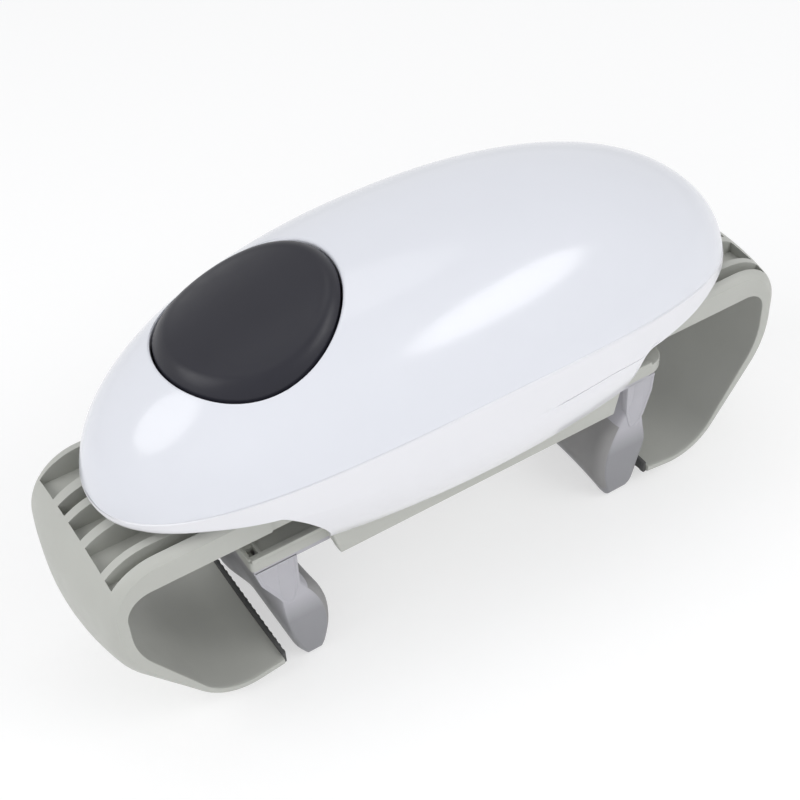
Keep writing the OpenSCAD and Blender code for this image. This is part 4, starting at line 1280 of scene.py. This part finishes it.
# %% Riding, replacing and painting
# Each piece with its body, its slot and the CAD nodes that it stands for
pieces = [(upper_shell, "housing", "shell", "upper_shell"),
          (lower_shell, "housing", "shell", "lower_shell"),
          (shell_floor, "housing", "shell"),
          (arch_roofs[0], "housing", "shell"),
          (arch_roofs[1], "housing", "shell"),
          (battery_door, "battery_door", "shell", "battery_door"),
          (button, "button", "button", "button"),
          (arm, "arm_left", "warm_grey", "jar_arm_left"),
          (arm_right, "arm_right", "warm_grey", "jar_arm_right"),
          (jar_pad_left, "arm_left", "rubber", "jar_pad_left"),
          (jar_pad_right, "arm_right", "rubber", "jar_pad_right"),
          (carrier, "carrier", "warm_grey", "carrier"),
          (gripper, "gripper_left", "cool_grey", "lid_gripper_left"),
          (gripper_right, "gripper_right", "cool_grey", "lid_gripper_right"),
          (lid_pad_left, "gripper_left", "lid_rubber", "lid_pad_left"),
          (lid_pad_right, "gripper_right", "lid_rubber", "lid_pad_right")]
for piece, body, slot, *nodes in pieces:
    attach(piece, body)
    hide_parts(*nodes)
    bare(piece)
    piece.data.materials.append(finishes[slot])
# The pieces below the seam take the shell colour painted lighter, as painted light from the floor
for piece in (lower_shell, battery_door, shell_floor, *arch_roofs):
    piece.data.materials[0] = finishes["lower shell"]
for subpart in frame["record"]["subparts"]:
    solid = frame["nodes"][subpart["node"]]
    bare(solid)
    solid.data.materials.append(finishes[subpart["material_slot"]])
print(len(pieces), "pieces dressed")

# %% [markdown]
# ## Floor, light and background
# A pale floor in a white room: both show white, but light the object at a plain level. Two soft
# boxes give the long highlight on the front of the dome and the short one at its left tip: their
# places come from where the dome mirrors them. A third one lights the top.

# %% Rays that show the background
def seen(tree):
    """1 for rays that show the background: from the camera, mirrored or through glass."""
    path = node(tree, "LightPath")
    total = path.outputs["Is Camera Ray"]
    for name in ("Is Glossy Ray", "Is Transmission Ray"):
        add = node(tree, "Math", {0: total, 1: path.outputs[name]})
        add.operation = "ADD"
        add.use_clamp = True
        total = add.outputs[0]
    return total


def choose(tree, lighting, showing, output):
    """One shader for the rays that light the object, and one for those that show the backdrop."""
    either = node(tree, "MixShader", {0: seen(tree), 1: lighting.outputs[0],
                                      2: showing.outputs[0]})
    feed(tree, output, {0: either.outputs[0]})


# %% The floor
FLOOR_SIZE = 6
deselect()
bpy.ops.mesh.primitive_plane_add(size=FLOOR_SIZE)
floor = bpy.context.object
floor.name = "pale_floor"
paper = bpy.data.materials.new("white_paper")
paper.use_nodes = True
tree = paper.node_tree
tree.nodes.clear()
plain = node(tree, "BsdfDiffuse", {"Color": (0.88, 0.88, 0.88, 1)})
# Half of what is seen is the lit paper, with its shadow, and half an even white
dim = node(tree, "BsdfDiffuse", {"Color": (0.5, 0.5, 0.5, 1)})
glow = node(tree, "Emission", {"Strength": 0.55})
pale = node(tree, "AddShader", {0: dim.outputs[0], 1: glow.outputs[0]})
choose(tree, plain, pale, node(tree, "OutputMaterial"))
floor.data.materials.append(paper)
print("floor", FLOOR_SIZE, "m wide")

# %% The room
world = bpy.data.worlds.new("white_room")
world.use_nodes = True
tree = world.node_tree
room = feed(tree, tree.nodes["Background"], {"Strength": 0.5, "Color": (0.97, 0.98, 1, 1)})
white = node(tree, "Background", {"Strength": 1, "Color": (1, 1, 1, 1)})
choose(tree, room, white, tree.nodes["World Output"])
bpy.context.scene.world = world
bpy.context.scene.view_settings.view_transform = "Standard"
print("view transform", bpy.context.scene.view_settings.view_transform)

# %% Soft boxes
LAMP_AIM_HIGH = 0.08


def soft_box(name, azimuth, height, far, wide, high, power):
    """An area lamp that looks at the object from a direction given in degrees."""
    lamp = bpy.data.lights.new(name, "AREA")
    lamp.shape = "ELLIPSE"
    lamp.size = wide
    lamp.size_y = high
    lamp.energy = power
    box = bpy.data.objects.new(name, lamp)
    bpy.context.scene.collection.objects.link(box)
    around, rise = math.radians(azimuth), math.radians(height)
    way = Vector((math.cos(around) * math.cos(rise), math.sin(around) * math.cos(rise),
                  math.sin(rise)))
    box.location = way * far + Vector((0, 0, LAMP_AIM_HIGH))
    box.rotation_euler = way.to_track_quat("Z", "Y").to_euler()
    return box


soft_box("front_box", -50, 42, 0.9, 0.64, 0.31, 2.0)
soft_box("left_box", 172, 38, 0.9, 0.6, 0.54, 2.4)
soft_box("top_box", 60, 78, 1.2, 0.9, 0.7, 1.5)
# A weak fill from the left front and a card on the floor, with no highlight of their own
side_fill = soft_box("side_fill", -135, 28, 1.2, 0.8, 0.5, 0.9)
card = soft_box("bounce_card", -92, -14, 0.3, 0.6, 0.2, 0.3)
for fill in (side_fill, card):
    fill.visible_glossy = False
    fill.visible_camera = False
print("lamps", len(bpy.data.lights))
